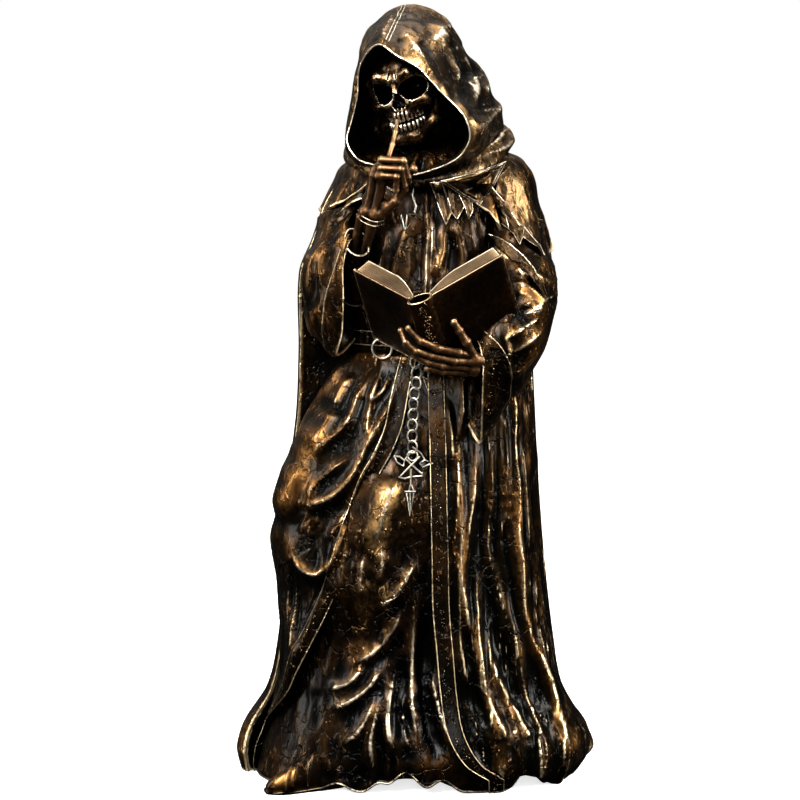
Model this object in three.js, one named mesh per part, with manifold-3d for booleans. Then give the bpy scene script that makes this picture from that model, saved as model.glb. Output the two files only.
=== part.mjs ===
// Hooded skeleton figurine with an open book, one cold casting that stands on its own hem.
// Millimetres, +Z up, +X to the viewer's right, the figure faces -Y.
import * as THREE from 'three';
import { mergeVertices } from 'three/addons/utils/BufferGeometryUtils.js';
import Module from 'manifold-3d';

const wasm = await Module();
wasm.setup();

// Driving dimensions. Outlines and folds are drawn on the front view as [x, height] in mm and
// then set at a depth y. The view is taken from a little above, so a drawn point is moved along
// its line of sight to that depth.
const view = { distance: 1150, tilt: THREE.MathUtils.degToRad(6), aim: 150, floorLine: 158 };
const beltHeight = 169;        // the coat closes here
const neckHeight = 246;        // top of the torso, inside the hood
const layer = 2.4;             // step from the gown out to the coat
const hemInset = 5;            // the flat underside lies this far inside the hem

const lerp = (a, b, t) => a + (b - a) * t;
const clamp = (v, low, high) => Math.min(high, Math.max(low, v));
const smooth = (low, high, v) => {
  const t = clamp((v - low) / (high - low), 0, 1);
  return t * t * (3 - 2 * t);
};

// The solid place of a point drawn at (x, h) and set at depth y
function seen(x, h, y) {
  const sin = Math.sin(view.tilt);
  const cos = Math.cos(view.tilt);
  const up = h - view.floorLine;
  const reach = y + view.distance * cos;
  const drop = -reach * (view.distance * sin - up * cos) / (view.distance * cos + up * sin);
  const away = reach * cos - drop * sin;
  return [x * away / view.distance, y, view.aim + view.distance * sin + drop];
}

// Where a solid point shows on the front view
function drawn(x, y, z) {
  const sin = Math.sin(view.tilt);
  const cos = Math.cos(view.tilt);
  const reach = y + view.distance * cos;
  const drop = z - view.aim - view.distance * sin;
  const away = reach * cos - drop * sin;
  const up = view.distance * (reach * sin + drop * cos) / away;
  return [view.distance * x / away, up + view.floorLine];
}

// A smooth function through [t, value] pairs, flat beyond its ends
function profile(points) {
  return (t) => {
    const last = points.length - 1;
    if (t <= points[0][0]) return points[0][1];
    if (t >= points[last][0]) return points[last][1];
    let i = 0;
    while (t > points[i + 1][0]) i += 1;
    const slope = (k) => {
      const a = points[Math.max(0, k - 1)];
      const b = points[Math.min(last, k + 1)];
      return (b[1] - a[1]) / (b[0] - a[0]);
    };
    const span = points[i + 1][0] - points[i][0];
    const u = (t - points[i][0]) / span;
    const h1 = u * u * (3 - 2 * u);
    return lerp(points[i][1], points[i + 1][1], h1)
      + span * (u * (1 - u) * (1 - u) * slope(i) - u * u * (1 - u) * slope(i + 1));
  };
}

// Points at equal parameter steps on a smooth curve through the given points
function curve(points, count, closed = false) {
  const path = new THREE.CatmullRomCurve3(points.map((p) => new THREE.Vector3(p[0], p[1], p[2] ?? 0)),
    closed, 'centripetal');
  const steps = closed ? count : count - 1;
  return Array.from({ length: count }, (_, i) => path.getPoint(i / steps).toArray());
}

// A closed solid through rings of equal length, with a fan on each end
function loft(rings) {
  const count = rings[0].length;
  const positions = rings.flat();
  const index = [];
  rings.slice(1).forEach((_, r) => {
    for (let i = 0; i < count; i += 1) {
      const a = r * count + i;
      const b = r * count + (i + 1) % count;
      index.push(a, b, b + count, a, b + count, a + count);
    }
  });
  const ends = [[0, true], [rings.length - 1, false]];
  ends.forEach(([r, first]) => {
    const middle = [0, 1, 2].map((k) => rings[r].reduce((sum, p) => sum + p[k], 0) / count);
    const centre = positions.push(middle) - 1;
    for (let i = 0; i < count; i += 1) {
      const a = r * count + i;
      const b = r * count + (i + 1) % count;
      index.push(...(first ? [centre, b, a] : [centre, a, b]));
    }
  });
  const geometry = new THREE.BufferGeometry();
  geometry.setAttribute('position', new THREE.Float32BufferAttribute(positions.flat(), 3));
  geometry.setIndex(index);
  return geometry;
}

// A closed geometry as a solid that can be joined and cut
function solid(geometry) {
  const bare = geometry.clone();
  bare.deleteAttribute('normal');
  bare.deleteAttribute('uv');
  const merged = mergeVertices(bare, 1e-4);
  const triVerts = new Uint32Array(merged.index.array);
  const vertProperties = new Float32Array(merged.attributes.position.array);
  const made = new wasm.Manifold(new wasm.Mesh({ numProp: 3, vertProperties, triVerts }));
  if (made.volume() > 0) return made;
  for (let i = 0; i < triVerts.length; i += 3) {
    [triVerts[i + 1], triVerts[i + 2]] = [triVerts[i + 2], triVerts[i + 1]];
  }
  return new wasm.Manifold(new wasm.Mesh({ numProp: 3, vertProperties, triVerts }));
}

const joined = (solids) => solids.reduce((whole, next) => whole.add(next));

// Folds. Each is a soft ridge (or, with a negative rise, a channel) along a drawn curve.
// [rise, half width, points]
const coatFolds = [
  [1.6, 2.6, [[-24.5, 173], [-35.8, 151], [-42.5, 141]]],
  [2.0, 2.8, [[-22.8, 165], [-30.2, 149], [-35, 141], [-41, 130]]],
  [2.2, 2.8, [[-15.4, 166], [-23.7, 152], [-34.9, 133], [-44, 126]]],
  [2.4, 2.8, [[-8, 166], [-16.3, 151], [-25.5, 132], [-34, 126]]],
  [3.2, 2.8, [[-4.9, 163], [-12.7, 141], [-20.1, 126], [-29.4, 116], [-40, 113.5]]],
  [3.4, 3.0, [[-49, 101], [-44.5, 93], [-38.4, 87], [-32, 90.5], [-27.7, 99.6], [-24.4, 108]]],
  [2.2, 2.4, [[-45, 107], [-39.5, 102.6], [-33, 105.5], [-26.5, 111]]],
  [4.0, 9.0, [[-32, 144], [-41, 128], [-48, 112], [-49, 104]]],
  [2.0, 3.2, [[-51.3, 77], [-47.8, 67], [-44, 54]]],
  [2.2, 2.6, [[12.3, 124], [13.1, 84], [15.3, 58], [20.3, 44], [26, 29], [36, 17], [46, 12]]],
  [2.6, 3.0, [[25.6, 140], [23.4, 126], [22.6, 108], [18.5, 84]]],
  [3.0, 3.2, [[25.5, 93], [25.5, 62], [28.4, 44], [33.4, 28], [39.4, 18]]],
  [3.6, 3.4, [[36, 155], [36.5, 119], [38.2, 104], [42.3, 84], [47.3, 56], [54, 38], [61, 24], [64, 14]]],
  [2.6, 3.0, [[43.5, 157], [44.6, 119], [46.8, 92], [51, 73]]],
  [-3.4, 4.2, [[30.2, 140], [31, 92], [33.5, 69], [41, 42], [48, 28]]],
  [-2.6, 3.2, [[18.3, 77], [21.8, 53], [26, 37]]],
];
const gownFolds = [
  [5.0, 9.0, [[-8.8, 128], [-11.9, 114], [-17, 94], [-19, 80]]],
  [2.6, 2.6, [[2.9, 99], [-5.9, 79], [-13.5, 74], [-20, 75.5]]],
  [2.6, 2.6, [[-1, 83], [-11.9, 60], [-20, 53.6], [-27, 50.7]]],
  [2.8, 2.6, [[-5.7, 67], [-18.9, 43], [-27, 36.7], [-35, 35.6]]],
  [2.4, 2.6, [[-9.6, 53], [-15, 42], [-22.8, 26], [-32, 21.6]]],
  [3.4, 2.4, [[1.3, 81], [-1, 64], [-0.4, 39], [2.5, 16]]],
  [3.4, 2.4, [[-6.8, 60], [-9.4, 44], [-9.4, 28], [-5.9, 12]]],
  [2.6, 2.4, [[-17.4, 32], [-20.5, 20], [-16.6, 8]]],
  [2.0, 2.6, [[9.2, 40], [10, 28], [12.6, 14]]],
  [1.6, 1.8, [[-15, 198], [-12.8, 208], [-9.6, 224]]],
  [1.6, 1.8, [[-8.6, 198], [-7.6, 208], [-3, 222]]],
  [1.6, 1.6, [[4, 190], [5, 206], [6.2, 230]]],
  [1.8, 2.2, [[9, 200], [10.5, 212], [15, 228]]],
  [1.8, 2.2, [[19, 200], [20.6, 210], [18, 222]]],
];
const hoodFolds = [
  [1.0, 2.0, [[-5.5, 308], [-12, 299], [-13.6, 293]]],
  [1.8, 2.4, [[4.1, 302], [8.8, 296], [13.6, 287], [16.6, 277.5], [18.9, 268]]],
  [1.8, 2.6, [[9, 302], [14.8, 291], [18.8, 280], [21.6, 269], [24.6, 260]]],
  [2.0, 2.8, [[20.8, 287], [27, 277], [28, 268], [24.5, 260]]],
];

// Sum of the folds at a drawn point. Each ridge fades out toward its ends.
function foldField(folds) {
  const lines = folds.map(([rise, width, points]) => ({ rise, width, line: curve(points, 20) }));
  return (x, h) => {
    let total = 0;
    lines.forEach(({ rise, width, line }) => {
      let nearest = Infinity;
      let along = 0;
      for (let i = 0; i < line.length - 1; i += 1) {
        const [ax, ah] = line[i];
        const dx = line[i + 1][0] - ax;
        const dh = line[i + 1][1] - ah;
        const t = clamp(((x - ax) * dx + (h - ah) * dh) / (dx * dx + dh * dh), 0, 1);
        const distance = Math.hypot(x - ax - t * dx, h - ah - t * dh);
        if (distance < nearest) {
          nearest = distance;
          along = (i + t) / (line.length - 1);
        }
      }
      const fade = smooth(0, 0.14, along) * smooth(0, 0.14, 1 - along);
      total += rise * Math.exp(-((nearest / width) ** 2)) * (0.25 + 0.75 * fade);
    });
    return total;
  };
}
const coatField = foldField(coatFolds);
const gownField = foldField(gownFolds);
const hoodField = foldField(hoodFolds);

// Side outlines of the clothed body on the front view: [height, left x, right x]
const bodyOutline = [
  [0, -58, 52], [6, -60, 56], [12, -62.5, 63], [20, -62, 68], [28, -59, 67.5], [36, -56, 62], [46, -53, 57],
  [62, -51.5, 54], [80, -52.5, 51.5], [91, -54.5, 50.5], [102, -56.4, 49.3], [112, -53.6, 48.6],
  [125, -50, 48], [137, -47, 47.4], [147, -42, 46.8], [157, -36.5, 46.2], [167, -31, 43], [176, -27, 37],
  [190, -26, 35], [210, -27, 38], [225, -28, 40], [238, -24, 34], [246, -17, 25], [254, -12, 20],
];
const cloakOutline = [
  [0, -64, 52], [8, -66, 56], [16, -68.5, 65.5], [21, -69.2, 69.8], [30, -66.5, 66], [44, -57.6, 57.5],
  [62, -53.4, 54.3], [90, -51, 51], [120, -50, 48.6], [150, -46.2, 47], [175, -45.2, 46], [205, -45, 46],
  [218, -40, 47], [232, -35, 45], [246, -26, 36],
];
const bodyFront = profile([[0, -44], [12, -45.5], [34, -41], [64, -37], [104, -35], [140, -31], [169, -25.5],
  [200, -25], [226, -21], [240, -15], [250, -9]]);
const bodyBack = profile([[0, 48], [12, 49], [34, 44], [64, 40], [104, 35], [140, 31], [169, 27], [200, 28],
  [226, 26], [240, 20], [250, 15]]);

// Left and right extents of an outline at a solid height, for sides at the given depth
function sides(outline, depth) {
  const solidPoints = outline.map(([h, left, right]) => ({
    left: seen(left, h, depth), right: seen(right, h, depth),
  }));
  return {
    left: profile(solidPoints.map((p) => [p.left[2], p.left[0]])),
    right: profile(solidPoints.map((p) => [p.right[2], p.right[0]])),
  };
}

// Radius of a rounded section in the direction of an angle about its axis
function reachOf(angle, left, right, front, back, power) {
  const side = Math.cos(angle) > 0 ? right : left;
  const depth = Math.sin(angle) > 0 ? back : front;
  return ((Math.abs(Math.cos(angle)) / side) ** power + (Math.abs(Math.sin(angle)) / depth) ** power) ** (-1 / power);
}

const bodySides = sides(bodyOutline, 0);
const cloakSides = sides(cloakOutline, 4);
const axisY = 2;

// A point of the clothed body: the angle runs about the axis, the field adds the drawn folds
function bodyPoint(angle, z, field, offset) {
  const left = bodySides.left(z);
  const right = bodySides.right(z);
  const middle = (left + right) / 2;
  const half = (right - left) / 2;
  let radius = reachOf(angle, half, half, axisY - bodyFront(z), bodyBack(z) - axisY, 2.3) + offset;
  const [x, h] = drawn(middle + radius * Math.cos(angle), axisY + radius * Math.sin(angle), z);
  const facing = smooth(0.05, -0.25, Math.sin(angle));
  radius += facing * field(x, h);
  return [middle + radius * Math.cos(angle), axisY + radius * Math.sin(angle), z];
}

// Scalloped hem: how far each part of the lowest ring is lifted off the floor
const scallops = [[-14, 4, 3.5], [-3.5, 6, 8], [11, 5, 5], [44, 4.5, 8], [-30, 5, 3]];   // x, half width, lift
function hemLift(x) {
  return scallops.reduce((lift, [at, half, rise]) => lift + rise * Math.exp(-(((x - at) / half) ** 2)), 0);
}

// A hem, the flat underside inside it and the rings above, as one solid
function standing(pointAt, count, heights) {
  const rings = heights.map((z, level) => Array.from({ length: count }, (_, i) => {
    const p = pointAt(i / count, z);
    if (level > 1) return p;
    const front = smooth(0, -20, p[1]);
    return [p[0], p[1], z + front * hemLift(drawn(...p)[0]) * (level === 0 ? 1 : 0.5)];
  }));
  const foot = rings[0].map(([x, y]) => {
    const inward = 1 - hemInset / Math.hypot(x, y);
    return [x * inward, y * inward, 0];
  });
  return loft([foot, ...rings]);
}

// Gown: the inner robe, seen between the coat's front edges, and the chest above the belt
function gown() {
  const heights = [0.6, 7, 18, 31, 46, 64, 84, 110, 140, 165, 174, 204, 228, neckHeight];
  const frontShare = 0.7;
  const frontFrom = THREE.MathUtils.degToRad(-142);
  const frontTo = THREE.MathUtils.degToRad(-48);
  const turn = (t) => (t < frontShare ? lerp(frontFrom, frontTo, t / frontShare)
    : lerp(frontTo, frontFrom + 2 * Math.PI, (t - frontShare) / (1 - frontShare)));
  const step = (z) => -layer * smooth(beltHeight + 1, beltHeight - 5, z) * lerp(0.5, 1, smooth(0, 8, z));
  return solid(standing((t, z) => bodyPoint(turn(t), z, gownField, step(z)), 34, heights));
}

// Coat: outer robe with an open front. Its front edges follow these drawn lines.
const rightEdge = [[5.8, 29], [12, 20], [24, 13.1], [39, 10.3], [55, 8.8], [73, 7.2], [92, 6.8], [124, 6.2],
  [153, 5.6], [176, 5]];
const leftEdge = [[6, -63], [16, -61], [24, -56.4], [34, -48.6], [46, -43.5], [60, -38], [76, -31.8],
  [92, -25.9], [108, -20.5], [124, -14.6], [135, -8.8], [145, -4.9], [161, -1.8], [176, 2]];
function coat() {
  const heights = [0.6, 6, 14, 24, 37, 52, 68, 82, 95, 107, 119, 132, 149, beltHeight + 1];
  const rightX = profile(rightEdge);
  const leftX = profile(leftEdge);
  const drawnHeight = (z) => drawn(0, bodyFront(z), z)[1];
  const angleAt = (x, z) => {
    let angle = -Math.PI / 2;
    for (let pass = 0; pass < 12; pass += 1) {
      const p = bodyPoint(angle, z, () => 0, 0);
      angle += clamp((x - drawn(...p)[0]) / 40, -0.2, 0.2);
      angle = clamp(angle, -Math.PI * 0.97, -0.3);
    }
    return angle;
  };
  const samples = 39;
  const wrapped = 2;
  // More samples on the front than round the back
  const spread = profile([[0, 0], [0.42, 0.27], [0.62, 0.62], [1, 1]]);
  const rings = heights.map((z, level) => {
    const h = drawnHeight(z);
    const from = angleAt(rightX(h), z);
    const to = angleAt(leftX(h), z) + 2 * Math.PI;
    const outer = Array.from({ length: samples }, (_, i) => {
      const angle = lerp(from, to, spread(i / (samples - 1)));
      const p = bodyPoint(angle > Math.PI ? angle - 2 * Math.PI : angle, z, coatField, 0);
      const lift = level === 0 ? hemLift(drawn(...p)[0]) * smooth(0, -20, p[1]) : 0;
      return [p[0], p[1], z + lift];
    });
    // Back from one front edge to the other, inside the gown
    const inner = Array.from({ length: wrapped }, (_, i) => {
      const angle = lerp(to - 2 * Math.PI, from, i / (wrapped - 1));
      return bodyPoint(angle, z, () => 0, -8);
    });
    return [...outer, ...inner];
  });
  const foot = rings[0].map(([x, y]) => {
    const inward = 1 - hemInset / Math.max(12, Math.hypot(x, y));
    return [x * inward, y * inward, 0];
  });
  return solid(loft([foot, ...rings]));
}

// Cloak: broad folds down the back, its edges showing at both sides of the front view
function cloak() {
  const heights = [0.6, 8, 16, 27, 44, 72, 118, 170, 212, 232, 246];
  const count = 28;
  const rings = heights.map((z) => {
    const left = cloakSides.left(z);
    const right = cloakSides.right(z);
    const middle = (left + right) / 2;
    const half = (right - left) / 2;
    const pleat = lerp(1.2, 3.4, smooth(200, 10, z)) * smooth(244, 200, z);
    return Array.from({ length: count }, (_, i) => {
      const angle = lerp(-0.12, Math.PI + 0.12, i / (count - 8));
      if (i > count - 8) {
        const t = (i - (count - 8)) / 8;
        return [lerp(left + 3, right - 3, t), 6 + 4 * Math.sin(t * Math.PI), z];
      }
      const waves = 0.6 * Math.cos(11 * angle + 0.8) + 0.4 * Math.cos(17 * angle + z / 90);
      const edge = smooth(0.1, 0.5, Math.sin(angle));
      const radius = reachOf(angle, half, half, 20, bodyBack(z) + 3 - axisY, 2.3) + edge * pleat * waves;
      return [middle + radius * Math.cos(angle), axisY + radius * Math.sin(angle), z];
    });
  });
  const foot = rings[0].map(([x, y]) => {
    const inward = 1 - hemInset / Math.max(12, Math.hypot(x, y));
    return [x * inward, y * inward, 0];
  });
  return solid(loft([foot, ...rings]));
}

// Capelet: two ragged tiers over the shoulders
const shoulderOutline = [
  [196, -44, 54.5], [205, -43.6, 54.2], [213, -42.7, 53.8], [217, -40, 51.7], [222, -38, 50.5], [227, -37.2, 49.3], [231, -35.3, 48.2],
  [236, -33, 47.4], [241, -30.6, 46.6], [245.5, -28.5, 44.5], [250, -23, 40], [254, -16, 32],
];
const shoulderSides = sides(shoulderOutline, 3);
function capelet(edgeHeight, notch, inset) {
  const count = 32;
  const levels = 4;
  const topHeight = 251;
  const shoulderFront = profile([[196, -27], [213, -26], [228, -24], [240, -18], [250, -10]]);
  const shoulderBack = profile([[196, 33], [213, 32], [228, 30], [240, 24], [250, 17]]);
  const rings = Array.from({ length: levels }, (_, level) => Array.from({ length: count }, (_, i) => {
    const angle = i / count * 2 * Math.PI;
    const x = Math.cos(angle);
    const tooth = i % 2 === 0 ? notch : -notch * (0.4 + 0.6 * Math.cos(i * 2.4));
    const edge = edgeHeight(x, Math.sin(angle)) + tooth;
    const z = lerp(edge, topHeight, (level / (levels - 1)) ** 0.85);
    const left = shoulderSides.left(z);
    const right = shoulderSides.right(z);
    const middle = (left + right) / 2;
    const half = (right - left) / 2;
    const radius = reachOf(angle, half, half, axisY - shoulderFront(z), shoulderBack(z) - axisY, 2.2) - inset;
    return [middle + radius * Math.cos(angle), axisY + radius * Math.sin(angle), z];
  }));
  const inside = rings[0].map(([x, y, z]) => [x * 0.86, y * 0.86, z + 1.5]);
  return solid(loft([inside, ...rings]));
}

// Hood: matched points of the rim and of the outline, each [x, height, depth]
const hoodRim = [[-13.5, 293.6, -25], [-7, 289.3, -28], [3, 283.9, -30], [12.3, 273.4, -33], [20.2, 265, -35],
  [21.8, 257, -35], [17.5, 249.8, -33], [8, 245, -30], [-3, 242.6, -27], [-14, 246, -23], [-22, 248.8, -19],
  [-26.3, 255.5, -15], [-25, 264, -14], [-23, 273, -15], [-22, 283, -17], [-18, 291, -21]];
const hoodOutline = [[-7, 307.6, 3], [2, 308.9, 4], [12, 303.5, 5], [21, 288.5, 5], [29, 275.5, 5],
  [34.4, 264, 4], [35, 252, 2], [25, 240, 0], [3, 234, -4], [-14, 238, -2], [-22, 243, 0],
  [-26.6, 253, 3], [-25.6, 265, 5], [-23.8, 275, 5], [-22.2, 285, 5], [-17.6, 298.5, 4]];
const hoodMiddle = [2, 268];
function hood() {
  const count = 28;
  const rim = curve(hoodRim, count, true);
  const outline = curve(hoodOutline, count, true);
  const toSolid = ([x, h, y]) => {
    const [px, py, pz] = seen(x, h, y);
    const out = hoodField(x, h) * smooth(6, -8, y);
    const away = Math.hypot(x - hoodMiddle[0], h - hoodMiddle[1]);
    return [px + out * (x - hoodMiddle[0]) / away * 0.6, py - out * 0.8, pz + out * (h - hoodMiddle[1]) / away * 0.6];
  };
  const between = (t, bulge) => rim.map((p, i) => {
    const q = outline[i];
    return [lerp(p[0], q[0], t ** 0.8), lerp(p[1], q[1], t ** 0.8), lerp(p[2], q[2], t) - bulge];
  });
  const towards = (ring, share, depth) => ring.map(([x, h]) => [
    lerp(hoodMiddle[0], x, share), lerp(hoodMiddle[1], h, share), depth]);
  const wall = 1.8;
  const rings = [
    towards(rim, 0.28, 12), towards(rim, 0.74, 9), towards(rim, 0.88, -2),
    rim.map(([x, h, y]) => [lerp(hoodMiddle[0], x, 0.93), lerp(hoodMiddle[1], h, 0.93), y + wall]),
    rim, between(0.16, 0.7), between(0.55, 1.6), outline,
    towards(outline, 0.93, 16), towards(outline, 0.72, 26), towards(outline, 0.36, 32),
  ];
  return solid(loft(rings.map((ring) => ring.map(toSolid))));
}

// A tube of changing radius along a drawn path of [x, height, depth, radius]
function tube(path, sections, aroundCount) {
  const points = curve(path.map(([x, h, y]) => seen(x, h, y)), sections);
  const radii = curve(path.map(([, , , r], i) => [i, r, 0]), sections).map((p) => p[1]);
  const rings = points.map((p, i) => {
    const from = new THREE.Vector3(...points[Math.max(0, i - 1)]);
    const to = new THREE.Vector3(...points[Math.min(sections - 1, i + 1)]);
    const along = to.sub(from).normalize();
    const side = new THREE.Vector3(0, -1, 0.3).cross(along).normalize();
    const up = along.clone().cross(side);
    return Array.from({ length: aroundCount }, (_, k) => {
      const angle = k / aroundCount * 2 * Math.PI;
      const out = side.clone().multiplyScalar(Math.cos(angle) * radii[i]);
      out.addScaledVector(up, Math.sin(angle) * radii[i]);
      return [p[0] + out.x, p[1] + out.y, p[2] + out.z];
    });
  });
  return solid(loft(rings));
}

// Sleeves: rings of ten matched points, from the shoulder to the hanging mouth
function sleeve(drawnRings, ringSamples, hollow) {
  const rings = drawnRings.map((ring) => curve(ring, ringSamples, true));
  const steps = 2;
  const smoothRings = [];
  for (let r = 0; r < rings.length - 1; r += 1) {
    for (let k = 0; k < steps; k += 1) {
      const t = k / steps;
      smoothRings.push(rings[r].map((_, i) => {
        const pick = (n) => new THREE.Vector3(...rings[clamp(n, 0, rings.length - 1)][i]);
        const path = new THREE.CatmullRomCurve3([pick(r - 1), pick(r), pick(r + 1), pick(r + 2)], false, 'catmullrom');
        return path.getPoint((1 + t) / 3).toArray();
      }));
    }
  }
  const mouth = rings[rings.length - 1];
  smoothRings.push(mouth);
  const centre = [0, 1, 2].map((k) => mouth.reduce((sum, p) => sum + p[k], 0) / mouth.length);
  const inward = (share, deeper) => mouth.map((p) => [0, 1, 2].map((k) => (
    lerp(centre[k], p[k], share) + deeper * hollow[k])));
  smoothRings.push(inward(0.86, 0.1), inward(0.6, 1));
  return solid(loft(smoothRings.map((ring) => ring.map(([x, h, y]) => seen(x, h, y)))));
}
const raisedSleeve = [
  [[-22, 230, -12], [-27, 230, -14], [-33, 229, -10], [-37, 227, -2], [-37, 226, 8], [-32, 229, 15], [-26, 232, 15],
    [-22, 234, 8], [-20, 234, 0], [-20, 232, -7]],
  [[-27, 224, -19], [-34, 215, -19], [-40, 205, -16], [-42.5, 195, -9], [-42, 190, 0], [-38, 190, 9], [-32, 196, 12],
    [-27, 206, 10], [-24, 216, 2], [-24, 222, -10]],
  [[-26, 219, -24], [-30.5, 208, -26], [-34.4, 195, -25], [-35.4, 182, -23], [-34, 174, -17], [-28, 176, -7],
    [-24, 184, -1], [-22, 196, 0], [-21, 207, -4], [-22, 215, -15]],
  [[-25, 217.5, -24.5], [-28, 208, -27], [-28, 195, -28], [-28.6, 181, -27], [-30.5, 172.5, -24], [-24.5, 177.5, -16],
    [-20.3, 186, -9], [-19, 196, -7], [-19, 206, -10], [-20.5, 214, -18]],
];
const bookSleeve = [
  [[30, 229, -13], [38, 228, -17], [46, 226, -12], [50, 225, -2], [48, 227, 10], [41, 231, 16], [33, 234, 15],
    [28, 236, 7], [27, 235, -1], [27, 232, -7]],
  [[34, 208, -26], [43, 206, -29], [51, 203, -22], [54, 199, -10], [52, 195, 2], [45, 192, 9], [37, 194, 10],
    [31, 200, 6], [29, 206, -2], [30, 209, -15]],
  [[33, 189, -38], [41, 186, -40], [49, 181, -35], [51, 176, -24], [47, 170, -13], [40, 166, -4], [33, 172, -2],
    [29, 182, -4], [27, 190, -12], [28, 192, -28]],
  [[28, 181, -41], [34, 175, -43], [37, 166, -40], [36, 156, -34], [32, 147, -28], [28, 149, -20], [24, 159, -14],
    [22, 171, -12], [22, 179, -18], [24, 183, -32]],
  [[25.5, 177, -41], [27, 168, -43], [26.8, 158, -42.5], [26.4, 147, -40], [25.8, 138, -36], [21, 146, -28],
    [17.5, 158, -22], [16.5, 168, -20], [18, 176, -25], [22, 180, -34]],
];

// Skull, modelled facing the viewer about its own middle, then turned and leaned
const headPlace = { at: [-2.8, 276.3, -8.5], turn: 22, lean: 10.5, nod: 5 };
function skull() {
  const ball = (x, y, z, rx, ry, rz, across = 6, down = 5) => {
    const geometry = new THREE.SphereGeometry(1, across, down);
    geometry.rotateX(Math.PI / 2);
    geometry.scale(rx, ry, rz);
    geometry.translate(x, y, z);
    return solid(geometry);
  };
  const pair = (make) => [make(-1), make(1)];
  const bone = [
    ball(0, 3, 4.5, 12, 14, 11.5, 12, 7),
    ball(0, -7, -5.5, 6.4, 5, 7.4, 8, 6),
    ball(0, -5.6, -14.6, 6.6, 5.4, 5.2, 8, 6),
    ...pair((side) => ball(side * 8.8, -6, -5, 2.8, 3.4, 2.2, 6, 4)),
    ...pair((side) => ball(side * 5.6, -10, 3.8, 5, 2.6, 1.8, 6, 4)),
    ...pair((side) => ball(side * 8.2, -1, -10.4, 1.9, 4.4, 6)),
  ];
  const cuts = [
    ...pair((side) => ball(side * 5.7, -12.4, -0.6, 4.1, 6.4, 3.9, 8, 6)),
    ball(0, -12.8, -6, 2, 3.4, 3.2),
  ];
  const teeth = [];
  for (let row = 0; row < 2; row += 1) {
    for (let i = -1.5; i <= 1.5; i += 1) {
      const angle = i * 0.42;
      const tooth = new THREE.BoxGeometry(1.9, 1.8, 2.3);
      tooth.rotateZ(angle);
      tooth.translate(Math.sin(angle) * 5.6, -6 - Math.cos(angle) * 5.4, row === 0 ? -11 : -13.7);
      teeth.push(solid(tooth));
    }
  }
  const carved = cuts.reduce((head, cut) => head.subtract(cut), joined(bone));
  const [x, h, y] = headPlace.at;
  return joined([carved, ...teeth]).rotate([headPlace.nod, 0, 0]).rotate([0, 0, -headPlace.turn])
    .rotate([0, -headPlace.lean, 0]).translate(seen(x, h, y));
}

// One long bone, waisted between two knuckles, from a to b (solid points)
function bone(a, b, knuckle, sides = 4) {
  const from = new THREE.Vector3(...a);
  const along = new THREE.Vector3(...b).sub(from);
  const length = along.length();
  const outline = [[0, -0.6 * knuckle], [knuckle, 0], [0.62 * knuckle, length * 0.5],
    [0.9 * knuckle, length], [0, length + 0.5 * knuckle]];
  const geometry = new THREE.LatheGeometry(outline.map(([r, z]) => new THREE.Vector2(r, z)), sides);
  geometry.applyQuaternion(new THREE.Quaternion().setFromUnitVectors(new THREE.Vector3(0, 1, 0), along.normalize()));
  geometry.translate(...a);
  return solid(geometry);
}
// A chain of bones through drawn points [x, height, depth], tapering toward the tip
function finger(points, knuckle) {
  const places = points.map(([x, h, y]) => seen(x, h, y));
  return places.slice(1).map((place, i) => bone(places[i], place, knuckle * (1 - 0.1 * i)));
}
function raisedHand() {
  return joined([
    ...finger([[-16, 229, -31], [-13.6, 246, -35.5]], 2.1),
    ...finger([[-18, 229, -29], [-15.6, 245, -33]], 1.7),
    ...finger([[-13.2, 247.4, -34.5], [-9.4, 249.8, -35], [-7.6, 257.6, -31.5], [-6.7, 263.6, -27]], 1.6),
    ...finger([[-12.6, 248, -36], [-4.6, 248, -37.5], [-2.8, 242, -36]], 1.45),
    ...finger([[-12, 245, -36], [-5.2, 245, -37.5], [-3.6, 239, -35.5]], 1.4),
    ...finger([[-11.4, 242.4, -35.5], [-6, 242.2, -37], [-5.2, 236.6, -34.5]], 1.35),
    ...finger([[-12, 230, -31], [-6.4, 234.4, -33], [-2.6, 240, -35], [-0.4, 244.6, -34.5]], 1.7),
    tube([[-19.6, 227.6, -30, 2.4], [-16.6, 226.6, -31.4, 2.7], [-13, 226.4, -30, 2.3]], 4, 7),
    ...finger([[-18.6, 228, -29], [-24.4, 215, -21]], 2.1),
    ...finger([[-15.8, 226, -29], [-21.4, 212, -21]], 1.9),
  ]);
}
function bookHand() {
  return joined([
    ...finger([[22, 171.6, -43], [9.3, 173.8, -48.5], [2.4, 177.5, -50], [-2.8, 182.6, -49]], 1.8),
    ...finger([[21.6, 169, -43], [6.6, 170.7, -48], [0.4, 174.4, -49], [-4.9, 181.8, -47.5]], 1.75),
    ...finger([[21, 166.6, -42], [7, 167.8, -46.5], [0.8, 171.6, -47.5], [-4.2, 178.2, -46]], 1.65),
    ...finger([[20.6, 164.6, -41], [9, 165.6, -44.5], [3, 168.8, -46]], 1.5),
    ...finger([[23.4, 171, -42.5], [19.4, 178.4, -47], [14.4, 184.6, -48.5]], 1.8),
    tube([[21.4, 171, -42, 2.6], [23.6, 168.4, -41, 3.8], [30, 168, -36, 3.2]], 4, 7),
  ]);
}

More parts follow.
